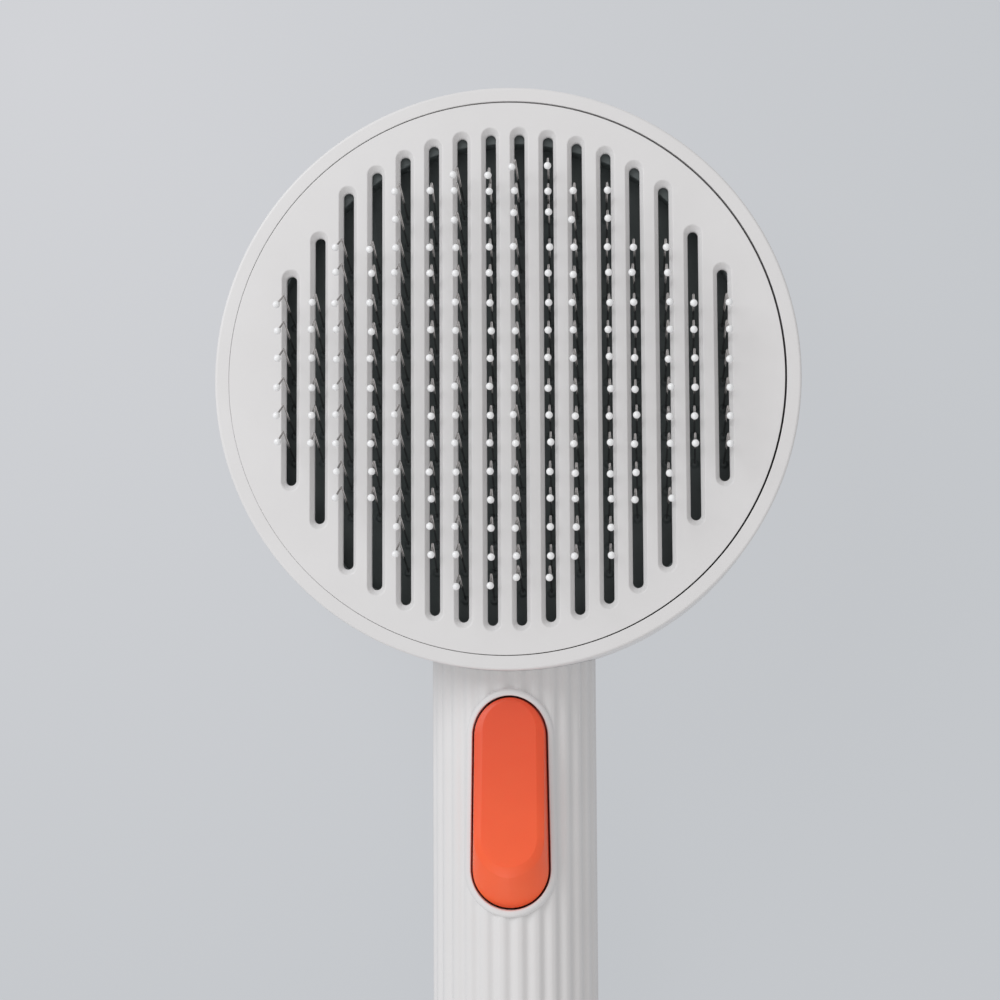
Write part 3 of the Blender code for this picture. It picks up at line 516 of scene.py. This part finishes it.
WHITE = finish_material("white_abs_satin", (0.728, 0.722, 0.724), (0.748, 0.742, 0.745), (0.40, 0.50),
                        0.012, 0.00022, 0.000004)
SLATE = finish_material("slate_nylon_moulded", (0.088, 0.105, 0.106), (0.112, 0.132, 0.133), (0.42, 0.62),
                        0.006, 0.00018, 0.00001)
ORANGE = finish_material("orange_abs_satin", (0.96, 0.128, 0.030), (1.0, 0.144, 0.036), (0.40, 0.50),
                         0.009, 0.0002, 0.000005, subsurface=0.35)
GREY = finish_material("grey_acetal_moulded", (0.29, 0.30, 0.31), (0.33, 0.34, 0.35), (0.34, 0.46),
                       0.008, 0.0002, 0.000006)
SPRING = finish_material("spring_steel_drawn", (0.42, 0.42, 0.44), (0.56, 0.56, 0.58), (0.24, 0.40),
                         0.002, 0.0001, 0.000004, 1.0)
PIN = finish_material("pin_steel_drawn", (0.40, 0.385, 0.375), (0.56, 0.54, 0.525), (0.08, 0.18),
                      0.0016, 0.00012, 0.000003, 1.0, (1.0, 1.0, 0.12))
TIP = finish_material("pin_tip_epoxy", (0.86, 0.87, 0.88), (0.90, 0.91, 0.92), (0.16, 0.26),
                      0.0011, 0.00025, 0.000004, coat=0.3)
ZINC = finish_material("zinc_plate", (0.52, 0.53, 0.56), (0.66, 0.65, 0.62), (0.26, 0.44),
                       0.0006, 0.00015, 0.000006, 1.0)


def paint_shade_along_y(material, low_y, high_y, colour):
    """Paints shade into a material's base colour: blends it towards a darker one along the object's own Y.
    """
    tree = material.node_tree
    shader = tree.nodes["Principled BSDF"]
    base = shader.inputs["Base Color"].links[0].from_socket
    parts = tree.nodes.new("ShaderNodeSeparateXYZ")
    tree.links.new(tree.nodes.new("ShaderNodeTexCoord").outputs["Object"], parts.inputs["Vector"])
    share = ramp(tree, parts.outputs["Y"], low_y, high_y, 0.0, 1.0)
    tree.links.new(blend_colours(tree, share, base, colour), shader.inputs["Base Color"])


def paint_button_glow_and_shade():
    """A weak painted glow stands for light coming through the button's plastic, and painted shade darkens
    its head end.
    """
    shader = ORANGE.node_tree.nodes["Principled BSDF"]
    shader.inputs["Emission Color"].default_value = BUTTON_GLOW
    shader.inputs["Emission Strength"].default_value = BUTTON_GLOW_STRENGTH
    # Painted shade, darkest at the button's head end
    paint_shade_along_y(ORANGE, OPENING_LOW_Y, OPENING_HEAD_Y, BUTTON_HEAD_PAINTED_SHADE)


def dress(obj, material, body, slot, *nodes):
    """Gives a piece its shading and material, its body, and the CAD nodes that it stands for."""
    obj.data.materials.clear()
    obj.data.materials.append(material)
    obj.data.shade_smooth()
    obj.data.set_sharp_from_angle(angle=SHARP_ANGLE)
    normals = obj.modifiers.new("normals", "WEIGHTED_NORMAL")
    normals.keep_sharp = True
    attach(obj, body)
    if nodes:
        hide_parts(*nodes)
    return obj


def node_centre(node):
    low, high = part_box(node)
    return (low + high) / 2


def nodes_named(start):
    return sorted(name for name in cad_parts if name.startswith(start))


def upright_at(node, low_z, high_z, radius=SHANK_R + GAP):
    """An upright on a node's centre line, by default as wide as the hole that a screw passes through."""
    place = node_centre(node)
    return upright("upright", place.x, place.y, low_z, high_z, radius)


def back_arc(radius, low_z):
    """The rounded edge of the head's back, from its wall down to its flat."""
    points = arc((RING_R - BACK_R, BACK_R), radius, 0.0, -90.0, BACK_STEPS)
    points[-1] = (points[-1][0], low_z)
    return points


def head_envelope():
    """The outside of the head plus a hair's breadth, to end the handle against it."""
    profile = [(0.0, RING_TOP_Z + MARGIN), (RING_R + HEAD_FIT, RING_TOP_Z + MARGIN)]
    return spin("envelope", profile + back_arc(BACK_R + HEAD_FIT, -GAP) + [(0.0, -GAP)])


def make_ring():
    wall_r = RING_BORE_R - GAP
    lip_z = head_low.z
    top = RING_TOP_Z
    profile = [
        (RING_R, SPLIT_Z + GAP / 2),
        (wall_r, SPLIT_Z + GAP / 2),
        (wall_r, lip_z),
        (wall_r - LIP_THICKNESS, lip_z),
        (wall_r - LIP_THICKNESS, LEDGE_Z[0]),
        (LEDGE_INNER_R, LEDGE_Z[0]),
        (LEDGE_INNER_R, LEDGE_Z[1]),
        (RING_BORE_R, LEDGE_Z[1]),
    ]
    profile += arc((RING_BORE_R + BORE_FILLET, top - BORE_FILLET), BORE_FILLET, 180.0, 90.0, ARC_STEPS)
    profile += arc((RING_R - RING_FILLET, top - RING_FILLET), RING_FILLET, 90.0, 0.0, ARC_STEPS)
    ring = spin("housing_ring", profile, closed=True)
    low, high = LEDGE_Z[0] - MARGIN, LEDGE_Z[1] + MARGIN
    ways = []
    for node in nodes_named("return_spring"):
        ways.append(upright_at(node, low, high, SPRING_WAY_R))
    for node in nodes_named("base_screw") + nodes_named("case_screw"):
        ways.append(upright_at(node, low, high))
    return dress(cut(ring, ways), WHITE, HOUSING, "white_abs", "front_housing")


def slot_half_length(x, number):
    """number counts from the middle slot outwards on either side."""
    if number < INNER_SLOTS:
        return math.sqrt(SLOT_FIELD_R**2 - x**2)
    return OUTER_SLOT_HALF_LENGTHS[number - INNER_SLOTS]


def slot_section():
    """(depth below the face, extra half width) down one slot's wall: round lip, chamfer, round throat."""
    half_turn = math.tan(math.radians(SLOT_TURN / 2))
    lip_centre = (SLOT_CHAMFER + SLOT_LIP_R * half_turn, SLOT_LIP_R)
    throat_depth = SLOT_CHAMFER + SLOT_THROAT_R * half_turn
    throat = arc((-SLOT_THROAT_R, throat_depth), SLOT_THROAT_R, 0.0, -SLOT_TURN, SLOT_THROAT_STEPS)
    lip = arc(lip_centre, SLOT_LIP_R, 180.0 + SLOT_TURN, 270.0 - SLOT_LIP_STOP, SLOT_LIP_STEPS)
    section = [(throat_depth, 0.0)]
    section += [(depth, -wider) for wider, depth in throat[1:]]
    section += [(depth, wider) for wider, depth in lip]
    return [(depth * SLOT_STEEPNESS, wider) for depth, wider in section]


def slot_cutter(x, number):
    reach = slot_half_length(x, number)
    middle = HEAD.y + SLOT_FIELD_Y
    section = slot_section()
    depth, wider = section[-1]
    slope = math.tan(math.radians(SLOT_LIP_STOP))
    section.append((-depth, wider + 2 * depth / slope))
    section.insert(0, (PLATE_THICKNESS + MARGIN, 0.0))
    rings = []
    for depth, wider in section:
        end = reach + wider * SLOT_END_SPREAD
        outline = stadium(SLOT_HALF_WIDTH + wider, middle - end, middle + end, SLOT_END_STEPS, x)
        rings.append(level(outline, RING_TOP_Z - depth))
    return loft("slot", rings)


def make_plate():
    under_z = RING_TOP_Z - PLATE_THICKNESS
    outer_r = PLATE_R + PLATE_FIT
    profile = [(0.0, RING_TOP_Z)]
    profile += arc((outer_r - PLATE_FILLET, RING_TOP_Z - PLATE_FILLET), PLATE_FILLET, 90.0, 0.0, ARC_STEPS)
    profile += [
        (outer_r, SKIRT_BOTTOM_Z),
        (PLATE_R - SKIRT_THICKNESS, SKIRT_BOTTOM_Z),
        (PLATE_R - SKIRT_THICKNESS, under_z),
        (0.0, under_z),
    ]
    plate = spin("slotted_plate", profile, HEAD + PLATE_SHIFT)
    rows = nodes_named("pin_row")
    cutters = []
    middle = len(rows) // 2
    for i, node in enumerate(rows):
        number = i - middle if i >= middle else middle - 1 - i
        cutters.append(slot_cutter(node_centre(node).x, number))
    plate = cut(plate, cutters)
    posts, ways = [], []
    for node in nodes_named("post_screw"):
        posts.append(upright_at(node, plate_low.z, under_z + MARGIN / 2, POST_R))
        ways.append(upright_at(node, plate_low.z - MARGIN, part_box(node)[1].z + GAP))
    plate = unite(plate, joined("posts", posts))
    return dress(cut(plate, ways), WHITE, PLATE, "white_abs", "face_plate")


def pin_roots(node):
    """Where one row's pins leave the floor, from the handle's side to the tip of the head."""
    low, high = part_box(node)
    x = (low.x + high.x) / 2
    count = round((high.y - low.y - PIN_STRIP_END - PIN_BEND.y) / PIN_PITCH) + 1
    roots = []
    for i in range(count):
        y = low.y + PIN_STRIP_END + i * PIN_PITCH + PIN_ROW_SKEW * x
        if count == LONG_ROW and i == count - 1:
            y -= TOP_PIN_DROP if x > 0 else SHORT_TOP_DROP
        if count == LONG_ROW and x > 0 and i == 0:
            y += LAST_PIN_LIFT
        if count == LONG_ROW and x > 0 and i == count - 3:
            y += THIRD_PIN_LIFT
        roots.append(Vector((x, y, FLOOR_Z)))
    return roots


def make_pin_bed():
    under_z = base_low.z
    rim_r = PLATE_R - SKIRT_THICKNESS - GAP
    flange_r = RING_BORE_R - GAP
    profile = [
        (0.0, RIM_TOP_Z),
        (rim_r, RIM_TOP_Z),
        (rim_r, FLANGE_TOP_Z),
        (flange_r, FLANGE_TOP_Z),
        (flange_r, under_z),
        (UNDER_R, under_z),
        (UNDER_R, FLOOR_UNDER_Z),
        (0.0, FLOOR_UNDER_Z),
    ]
    tray = [(0.0, FLOOR_Z), (TRAY_R, FLOOR_Z)]
    tray += arc((TRAY_R + TRAY_EDGE, RIM_TOP_Z - TRAY_EDGE), TRAY_EDGE, 180.0, 90.0, ARC_STEPS)
    tray += [(TRAY_R + TRAY_EDGE, RIM_TOP_Z + MARGIN), (0.0, RIM_TOP_Z + MARGIN)]
    bed = cut(spin("pin_bed", profile), [spin("tray", tray, HEAD + TRAY_SHIFT)])
    bosses, ways = [], []
    for node in nodes_named("pin_row"):
        roots = pin_roots(node)
        x, half = roots[0].x, STRIP_HALF_WIDTH + GAP
        low = (x - half, roots[0].y - PIN_STRIP_END - GAP, FLOOR_UNDER_Z - MARGIN)
        high = (x + half, roots[-1].y + PIN_STRIP_END + GAP, FLOOR_Z - FLOOR_SKIN)
        ways.append(box("strip_way", low, high))
        for root in roots:
            section = [(0.0, FLOOR_Z - GAP / 2), (BOSS_R[0], FLOOR_Z - GAP / 2), (BOSS_R[0], FLOOR_Z)]
            section += [(BOSS_R[1], FLOOR_Z + BOSS_HEIGHT), (0.0, FLOOR_Z + BOSS_HEIGHT)]
            bosses.append(spin("boss", section, (root.x, root.y), BOSS_STEPS))
    bed = unite(bed, joined("bosses", bosses))
    for node in nodes_named("post_screw"):
        ways.append(upright_at(node, under_z - MARGIN, RING_TOP_Z, POST_R + GAP))
    for node in nodes_named("base_screw") + nodes_named("backer_screw"):
        ways.append(upright_at(node, under_z - MARGIN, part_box(node)[1].z + GAP))
    return dress(cut(bed, ways), SLATE, HOUSING, "slate_nylon", "needle_base")


def pin_path(root, bend, tip):
    """The wire's centre line: up to the bend, round it, and on to the tip."""
    path = [root - Vector((0.0, 0.0, PIN_ROOT_DEPTH)), root, root.lerp(bend, 0.5)]
    start = bend + (root - bend).normalized() * PIN_BEND_RUN
    end = bend + (tip - bend).normalized() * PIN_BEND_RUN
    for i in range(PIN_BEND_STEPS + 1):
        share = i / PIN_BEND_STEPS
        path.append(start.lerp(bend, share).lerp(bend.lerp(end, share), share))
    path.append(tip)
    return path


def tip_sections():
    """(distance along from the ball's centre, radius) of the dipped tip, as shares of the ball's radius."""
    sections = list(NECK_SECTIONS)
    for degrees in BALL_DEGREES:
        angle = math.radians(degrees)
        sections.append((math.sin(angle), math.cos(angle)))
    return sections


def make_pins():
    chance = random.Random(JITTER_SEED)
    row_shift = {}
    across = Vector((1.0, 0.0, 0.0))
    for number, node in enumerate(nodes_named("pin_row")):
        wires, tips = ([], []), ([], [])
        roots = pin_roots(node)
        side = -1 if number % 2 == 0 else 1
        for root in roots:
            row = round((root.y - HEAD.y) / PIN_PITCH)
            if row not in row_shift:
                row_shift[row] = chance.uniform(-ROW_JITTER, ROW_JITTER)
            lean = PIN_LEAN + side * PIN_LEAN_ALTERNATE + PIN_LEAN_SPREAD * root.x
            lean += chance.gauss(0.0, PIN_JITTER)
            shift = row_shift[row] + chance.gauss(0.0, PIN_JITTER)
            bend_lean = max(-BEND_REACH, min(BEND_REACH, lean * BEND_LEAN_SHARE))
            bend = root + PIN_BEND + Vector((bend_lean, shift, 0.0))
            tip = root + PIN_TIP + Vector((lean, shift, 0.0))
            path = pin_path(root, bend, tip)
            tube(wires, path, [PIN_WIRE_R] * len(path), across, PIN_SIDES)
            along = (tip - bend).normalized()
            sections = tip_sections()
            places = [tip + along * share * PIN_BALL_R for share, _ in sections]
            tube(tips, places, [radius * PIN_BALL_R for _, radius in sections], across, BALL_SIDES)
        x = roots[0].x
        strip = box("strip", (x - STRIP_HALF_WIDTH, roots[0].y - PIN_STRIP_END, FLOOR_UNDER_Z),
                    (x + STRIP_HALF_WIDTH, roots[-1].y + PIN_STRIP_END, FLOOR_Z - FLOOR_SKIN - GAP))
        label = f"{number + 1:02d}"
        wire = joined(f"pin_wires_{label}", [strip, solid("wires", *wires)])
        dress(wire, PIN, HOUSING, "pin_stainless", node)
        dress(solid(f"pin_tips_{label}", *tips), TIP, HOUSING, None)


def make_rear_cover():
    wall_top = SPLIT_Z - GAP / 2
    inner = back_arc(BACK_R - RING_WIDTH, BACK_WALL)
    profile = [(0.0, BACK_WALL)] + list(reversed(inner))
    profile += [(RING_BORE_R, wall_top), (RING_R, wall_top)] + back_arc(BACK_R, 0.0) + [(0.0, 0.0)]
    cover = spin("back_cover", profile)
    tongue_r = BORE_R - GAP
    low_y, high_y = HEAD.y - RING_R - TONGUE_OUT, HEAD.y - RING_R + TONGUE_IN
    tongue = plain_rod("tongue", (0, low_y, HANDLE_Z), (0, high_y, HANDLE_Z), tongue_r, ROUND // 2)
    start, end = (0, low_y - MARGIN, HANDLE_Z), (0, high_y + MARGIN, HANDLE_Z)
    over_low = (-HANDLE_R, low_y - MARGIN, HANDLE_Z - TONGUE_TOP_DROP)
    over = box("over", over_low, (HANDLE_R, high_y + MARGIN, RING_TOP_Z))
    tongue = cut(cut(tongue, [plain_rod("bore", start, end, tongue_r - TONGUE_WALL, ROUND // 2)]), [over])
    bosses, ways = [], []
    for node in nodes_named("case_screw"):
        seat_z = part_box(node)[0].z + SCREW_HEAD + GAP
        bosses.append(upright_at(node, COVER_BOSS_LOW_Z, LEDGE_Z[0] - GAP, COVER_BOSS_R))
        ways.append(upright_at(node, -MARGIN, seat_z, SCREW_HEAD_R + GAP))
        ways.append(upright_at(node, seat_z - MARGIN, RING_TOP_Z))
    cover = unite(unite(cover, tongue), joined("bosses", bosses))
    lever_way = box("lever_way", (-LEVER_WAY_HALF_WIDTH, LEVER_WAY_Y[0], LEVER_WAY_LOW_Z),
                    (LEVER_WAY_HALF_WIDTH, LEVER_WAY_Y[1], RING_TOP_Z))
    neck_way = upright_at("neck_screw", -MARGIN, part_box("neck_screw")[1].z + MARGIN)
    return dress(cut(cut(cover, ways), [lever_way, neck_way]), WHITE, HOUSING, "white_abs", "rear_cover")


def half_tube(name, upper):
    """Half of the fluted handle, with its bore."""
    side = 1 if upper else -1
    steps = FLUTES // 2 * FLUTE_STEPS
    outer, inner = [], []
    for i in range(steps + 1):
        turn = math.pi * i / steps
        flute = i / FLUTE_STEPS
        offset = abs(flute - math.floor(flute) - 0.5)
        depth = 0.5 + 0.5 * math.cos(math.pi * min(offset / FLUTE_HALF, 1.0))
        radius = HANDLE_R - FLUTE_DEPTH * depth
        outer.append((radius * math.cos(turn), side * radius * math.sin(turn)))
        inner.append((BORE_R * math.cos(turn), side * BORE_R * math.sin(turn)))
    for line in (outer, inner):
        for end in (0, -1):
            line[end] = (line[end][0], side * GAP / 2)
    ring = outer + list(reversed(inner))
    points, faces = [], []
    for y in (HANDLE_END_Y, HANDLE_HEAD_Y):
        points += [(x, y, HANDLE_Z + z) for x, z in ring]
    count = len(ring)
    for i in range(count):
        j = (i + 1) % count
        faces.append([i, j, count + j, count + i])
    for end in (0, count):
        for i in range(steps):
            faces.append([end + i, end + i + 1, end + count - 2 - i, end + count - 1 - i])
    return solid(name, points, faces)


def tapered(outline):
    """The button's outlines narrow a little towards the head."""
    length = OPENING_HEAD_Y - OPENING_LOW_Y
    return [(x * (1 - BUTTON_TAPER * (y - OPENING_LOW_Y) / length), y) for x, y in outline]


def opening(wider):
    half = OPENING_HALF_WIDTH + wider
    return tapered(stadium(half, OPENING_LOW_Y - wider, OPENING_HEAD_Y + wider, BUTTON_STEPS))


def make_bezel():
    """The raised rim round the button, bent over the handle."""
    rings = []
    for out, height in BEZEL_SECTION:
        ring = []
        for x, y in opening(out):
            ring.append((x, y, HANDLE_Z + math.sqrt((HANDLE_R + height) ** 2 - x**2)))
        rings.append(ring)
    return loft("bezel", rings, closed=True)


def make_handle_front():
    front = half_tube("handle_front", True)
    wide = opening(BEZEL_UNDERLAP)
    front = cut(front, [loft("opening", [level(wide, OPENING_FLOOR_Z), level(wide, RING_TOP_Z)])])
    front = unite(front, make_bezel())
    lugs = []
    for side in (-1, 1):
        xs = sorted((side * LUG_INNER_X, side * (BORE_R - MARGIN / 2)))
        lugs.append(box("lug", (xs[0], PIVOT.y - LUG_HALF_LENGTH, HANDLE_Z + LUG_LOW_RISE),
                        (xs[1], PIVOT.y + LUG_HALF_LENGTH, LUG_HIGH_Z)))
    ways = [head_envelope()]
    for node in nodes_named("handle_screw"):
        lugs.append(upright_at(node, HANDLE_Z + GAP / 2, HANDLE_Z + BORE_R + MARGIN / 2, FRONT_BOSS_R))
        ways.append(upright_at(node, HANDLE_Z - MARGIN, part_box(node)[1].z + GAP))
    front = unite(front, joined("lugs", lugs))
    start, end = (-PIN_WAY_HALF_LENGTH, PIVOT.y, PIVOT.z), (PIN_WAY_HALF_LENGTH, PIVOT.y, PIVOT.z)
    pin_way = plain_rod("pin_way", start, end, PIN_WAY_R)
    return dress(cut(front, ways + [pin_way]), WHITE, HOUSING, "white_abs", "handle_front_shell")


def make_handle_rear():
    rear = half_tube("handle_rear", False)
    bosses, head_ways, shank_ways = [], [head_envelope()], []
    for node in nodes_named("handle_screw"):
        bosses.append(upright_at(node, MARGIN, HANDLE_Z - GAP / 2, SCREW_HEAD_R + REAR_BOSS_WALL))
        head_ways.append(upright_at(node, -MARGIN, SCREW_WAY_TOP_Z, SCREW_HEAD_R + GAP))
        shank_ways.append(upright_at(node, SCREW_WAY_TOP_Z - MARGIN, HANDLE_Z + MARGIN))
    shank_ways.append(upright_at("neck_screw", -MARGIN, NECK_SEAT_Z, SCREW_HEAD_R + GAP))
    rear = cut(unite(rear, joined("bosses", bosses)), head_ways)
    rear = cut(cut(rear, shank_ways), [upright_at("neck_screw", 0.0, HANDLE_Z)])
    return dress(rear, WHITE, HOUSING, "white_abs", "handle_rear_shell")


def make_cap():
    plug_r = BORE_R - GAP
    edge = CAP_LENGTH - PLUG_LENGTH - CAP_FLAT
    out = CAP_LENGTH - PLUG_LENGTH
    profile = [(0.0, out)] + arc((HANDLE_R - edge, out - edge), edge, 90.0, 0.0, BACK_STEPS)
    profile += [(HANDLE_R, 0.0), (plug_r, 0.0), (plug_r, -PLUG_LENGTH)]
    profile += [(plug_r - PLUG_WALL, -PLUG_LENGTH), (plug_r - PLUG_WALL, PLUG_FLOOR), (0.0, PLUG_FLOOR)]
    cap = spin("handle_cap", profile, (0.0, 0.0))
    lay_down = Matrix.Rotation(math.pi / 2, 4, "X")
    cap.data.transform(Matrix.Translation((0.0, cap_low.y + out, HANDLE_Z)) @ lay_down)
    return dress(cap, WHITE, HOUSING, "white_abs", "end_cap")


def button_share(y):
    """0 at the button's head end, where it is nearly flush, to 1 at the foot of its sloping end."""
    head_y, low_y = OPENING_HEAD_Y - BUTTON_GAP, OPENING_LOW_Y + BUTTON_GAP + BUTTON_END_RUN
    return (head_y - y) / (head_y - low_y)


def button_top_z(y):
    return BUTTON_FLUSH_Z + (BUTTON_PROUD_Z - BUTTON_FLUSH_Z) * button_share(y)


def button_side_ring(share):
    """An outline on the button's side, a share of the way up from its shoulder to the band round its top."""
    low = OPENING_LOW_Y + BUTTON_GAP + BUTTON_END_RUN * share
    high = OPENING_HEAD_Y - BUTTON_GAP
    outline = tapered(stadium(OPENING_HALF_WIDTH - BUTTON_GAP, low, high, BUTTON_STEPS))
    ring = []
    for x, y in outline:
        drop = BUTTON_BAND_DROP[0] + (BUTTON_BAND_DROP[1] - BUTTON_BAND_DROP[0]) * button_share(y)
        rise = (button_top_z(y) - drop - BUTTON_SHOULDER_Z) * share
        inwards = math.copysign(min(abs(x), rise * BUTTON_DRAFT_SLOPE), x)
        ring.append((x - inwards, y, BUTTON_SHOULDER_Z + rise))
    return ring


def button_inner_outline(inset):
    """The edge of the button's flat top, or an outline further in."""
    side = BUTTON_BAND_SIDE + BUTTON_DRAFT_SLOPE * BUTTON_EDGE_HEIGHT
    low = OPENING_LOW_Y + BUTTON_GAP + BUTTON_END_RUN + BUTTON_BAND_LOW + inset
    high = OPENING_HEAD_Y - BUTTON_GAP - BUTTON_BAND_HEAD - inset
    return tapered(stadium(OPENING_HALF_WIDTH - BUTTON_GAP - side - inset, low, high, BUTTON_STEPS))


def make_button():
    foot = [(x, y, BUTTON_BOTTOM_Z) for x, y, _ in button_side_ring(0.0)]
    rings = [foot] + [button_side_ring(share) for share in BUTTON_SIDE_SHARES]
    outer = rings[-1]
    inner = [(x, y, button_top_z(y)) for x, y in button_inner_outline(0.0)]
    for share in BUTTON_EDGE_STEPS:
        lift = share * (1 + BUTTON_EDGE_BULGE * (1 - share))
        ring = []
        for a, b in zip(outer, inner):
            x, y = a[0] + (b[0] - a[0]) * share, a[1] + (b[1] - a[1]) * share
            ring.append((x, y, a[2] + (b[2] - a[2]) * lift))
        rings.append(ring)
    rings.append([(x, y, button_top_z(y)) for x, y in button_inner_outline(BUTTON_TOP_INSET)])
    button = loft("release_button", rings)
    hollow = button_inner_outline(BUTTON_HOLLOW_INSET)
    mouth = level(hollow, BUTTON_BOTTOM_Z - MARGIN)
    roof = [(x, y, button_top_z(y) - BUTTON_WALL) for x, y in hollow]
    return dress(cut(button, [loft("hollow", [mouth, roof])]), ORANGE, LEVER, "orange_abs", "button")


def make_screw(node, body):
    """A cross-head screw in the place of its CAD node, with a domed head and a ridged shank."""
    low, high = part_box(node)
    place = (low + high) / 2
    head = SHORT_HEAD if node == "neck_screw" else SCREW_HEAD
    seat = low.z + head
    profile = [(0.0, low.z), (SCREW_HEAD_R * HEAD_FLAT_SHARE, low.z)]
    dome = head * HEAD_DOME_SHARE
    profile += arc((SCREW_HEAD_R - dome, low.z + dome), dome, 270.0, 360.0, HEAD_STEPS)
    profile += [(SCREW_HEAD_R, seat), (SHANK_R, seat)]
    z = seat + THREAD_PITCH
    while z < high.z - THREAD_PITCH:
        profile += [(SHANK_R - THREAD_DEPTH, z - THREAD_PITCH * THREAD_RISE), (SHANK_R, z)]
        z += THREAD_PITCH * THREAD_STEP
    profile += [(SHANK_R - THREAD_DEPTH, high.z - SHANK_R * POINT_SHARE), (0.0, high.z)]
    screw = spin(node + "_fitted", profile, place)
    deep = min(CROSS_DEPTH, head * CROSS_DEPTH_SHARE)
    for wide, long in ((CROSS_HALF, CROSS_REACH), (CROSS_REACH, CROSS_HALF)):
        corner = Vector((wide, long, 0.0))
        blade_low = Vector((place.x, place.y, low.z - MARGIN)) - corner
        blade_high = Vector((place.x, place.y, low.z + deep)) + corner
        screw = cut(screw, [box("blade", blade_low, blade_high)])
    return dress(screw, ZINC, body, "zinc_plated_steel", node)


def make_screws():
    for node in nodes_named(""):
        if "_screw" in node:
            make_screw(node, PLATE if node.startswith("post") else HOUSING)


def make_pivot_pin():
    edge = PIVOT_PIN_EDGE
    length = pin_high.x - pin_low.x
    radius = (pin_high.z - pin_low.z) / 2
    profile = [(0.0, 0.0), (0.0, radius - edge), (edge, radius), (length - edge, radius)]
    profile += [(length, radius - edge), (length, 0.0)]
    pin = rod("hinge_pin", (pin_low.x, PIVOT.y, PIVOT.z), (pin_high.x, PIVOT.y, PIVOT.z), profile)
    return dress(pin, SPRING, HOUSING, "spring_steel", "pivot_pin")


def make_springs():
    wire = SPRING_WIRE_R
    steps = SPRING_TURNS * SPRING_STEPS
    for number, node in enumerate(nodes_named("return_spring"), 1):
        low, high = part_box(node)
        place = (low + high) / 2
        radius = (high.x - low.x) / 2 - wire
        path = []
        for i in range(steps + 1):
            angle = 2 * math.pi * i / SPRING_STEPS
            z = low.z + wire + (high.z - low.z - 2 * wire) * i / steps
            path.append(Vector((place.x + radius * math.cos(angle), place.y + radius * math.sin(angle), z)))
        parts = ([], [])
        tube(parts, path, [wire] * len(path), Vector((0.0, 0.0, 1.0)), SPRING_SIDES)
        spring = solid(f"plate_spring_{number}", *parts)
        dress(spring, SPRING, HOUSING, "spring_steel", node)
        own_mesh(spring)


def dress_hidden_nodes():
    """The CAD nodes that stay get the same finishes."""
    for node, material in (("needle_backer", SLATE), ("lift_frame", GREY), ("rocker_lever", GREY)):
        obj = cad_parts[node]
        for place in obj.material_slots:
            place.material = material


def make_camera():
    forward = Vector((CAMERA_SLOPE_X, CAMERA_SLOPE_Y, -1.0)).normalized()
    right = forward.cross(Vector((0.0, 1.0, 0.0))).normalized()
    up = right.cross(forward)
    roll = Matrix.Rotation(CAMERA_ROLL, 3, forward)
    place = Matrix((roll @ right, roll @ up, -forward)).transposed().to_4x4()
    target = Vector((HEAD.x + CAMERA_AIM[0], HEAD.y + CAMERA_AIM[1], RING_TOP_Z))
    place.translation = target - forward * CAMERA_DISTANCE
    data = bpy.data.cameras.new("camera")
    data.lens = CAMERA_LENS
    data.sensor_width = CAMERA_SENSOR
    data.clip_start, data.clip_end = CAMERA_CLIP
    camera = link(bpy.data.objects.new("camera", data))
    camera.matrix_world = place
    bpy.context.scene.camera = camera


def area_light(name, place, target, size, power, colour):
    data = bpy.data.lights.new(name, "AREA")
    data.shape = "DISK"
    data.size = size
    data.energy = power
    data.color = colour
    light = link(bpy.data.objects.new(name, data))
    light.location = place
    light.rotation_mode = "QUATERNION"
    light.rotation_quaternion = (Vector(target) - Vector(place)).to_track_quat("-Z", "Y")
    return light


def make_floor():
    """A pale floor with a soft glow of its own and a painted pool of light, brightest round one spot beside
    the head.
    """
    section = [(0.0, STAGE_TOP_Z), (STAGE_R, STAGE_TOP_Z), (STAGE_R, STAGE_BOTTOM_Z), (0.0, STAGE_BOTTOM_Z)]
    floor = spin("floor", section, (0.0, 0.0), ROUND)
    material = bpy.data.materials.new("pale_floor")
    material.use_nodes = True
    tree = material.node_tree
    shader = tree.nodes["Principled BSDF"]
    place = tree.nodes.new("ShaderNodeTexCoord").outputs["Object"]
    distance = tree.nodes.new("ShaderNodeVectorMath")
    distance.operation = "DISTANCE"
    distance.inputs[1].default_value = STAGE_BRIGHT_SPOT
    tree.links.new(place, distance.inputs[0])
    # Painted pool of light round the bright spot
    share = ramp(tree, distance.outputs["Value"], 0.0, STAGE_BRIGHT_R, 0.0, 1.0)
    colour = blend_colours(tree, share, STAGE_BRIGHT, STAGE_FAR)
    tree.links.new(colour, shader.inputs["Emission Color"])
    shader.inputs["Emission Strength"].default_value = 1.0
    shader.inputs["Base Color"].default_value = STAGE_BASE
    shader.inputs["Roughness"].default_value = STAGE_ROUGHNESS
    shader.inputs["Specular IOR Level"].default_value = STAGE_SPECULAR
    floor.data.materials.append(material)


def make_light():
    world = bpy.data.worlds.new("studio")
    world.use_nodes = True
    background = world.node_tree.nodes["Background"]
    background.inputs["Color"].default_value = WORLD_COLOUR
    background.inputs["Strength"].default_value = WORLD_STRENGTH
    bpy.context.scene.world = world
    target = (HEAD.x, HEAD.y - LIGHT_AIM_Y, RING_TOP_Z)
    area_light("key", KEY_PLACE, target, KEY_SIZE, KEY_POWER, LIGHT_COLOUR)
    area_light("front", FRONT_PLACE, target, FRONT_SIZE, FRONT_POWER, LIGHT_COLOUR)
    bpy.context.scene.view_settings.view_transform = "Standard"


paint_button_glow_and_shade()
make_ring()
make_plate()
make_pin_bed()
make_pins()
make_rear_cover()
make_handle_front()
make_handle_rear()
make_cap()
make_button()
make_screws()
make_pivot_pin()
make_springs()
dress_hidden_nodes()
make_camera()
make_floor()
make_light()
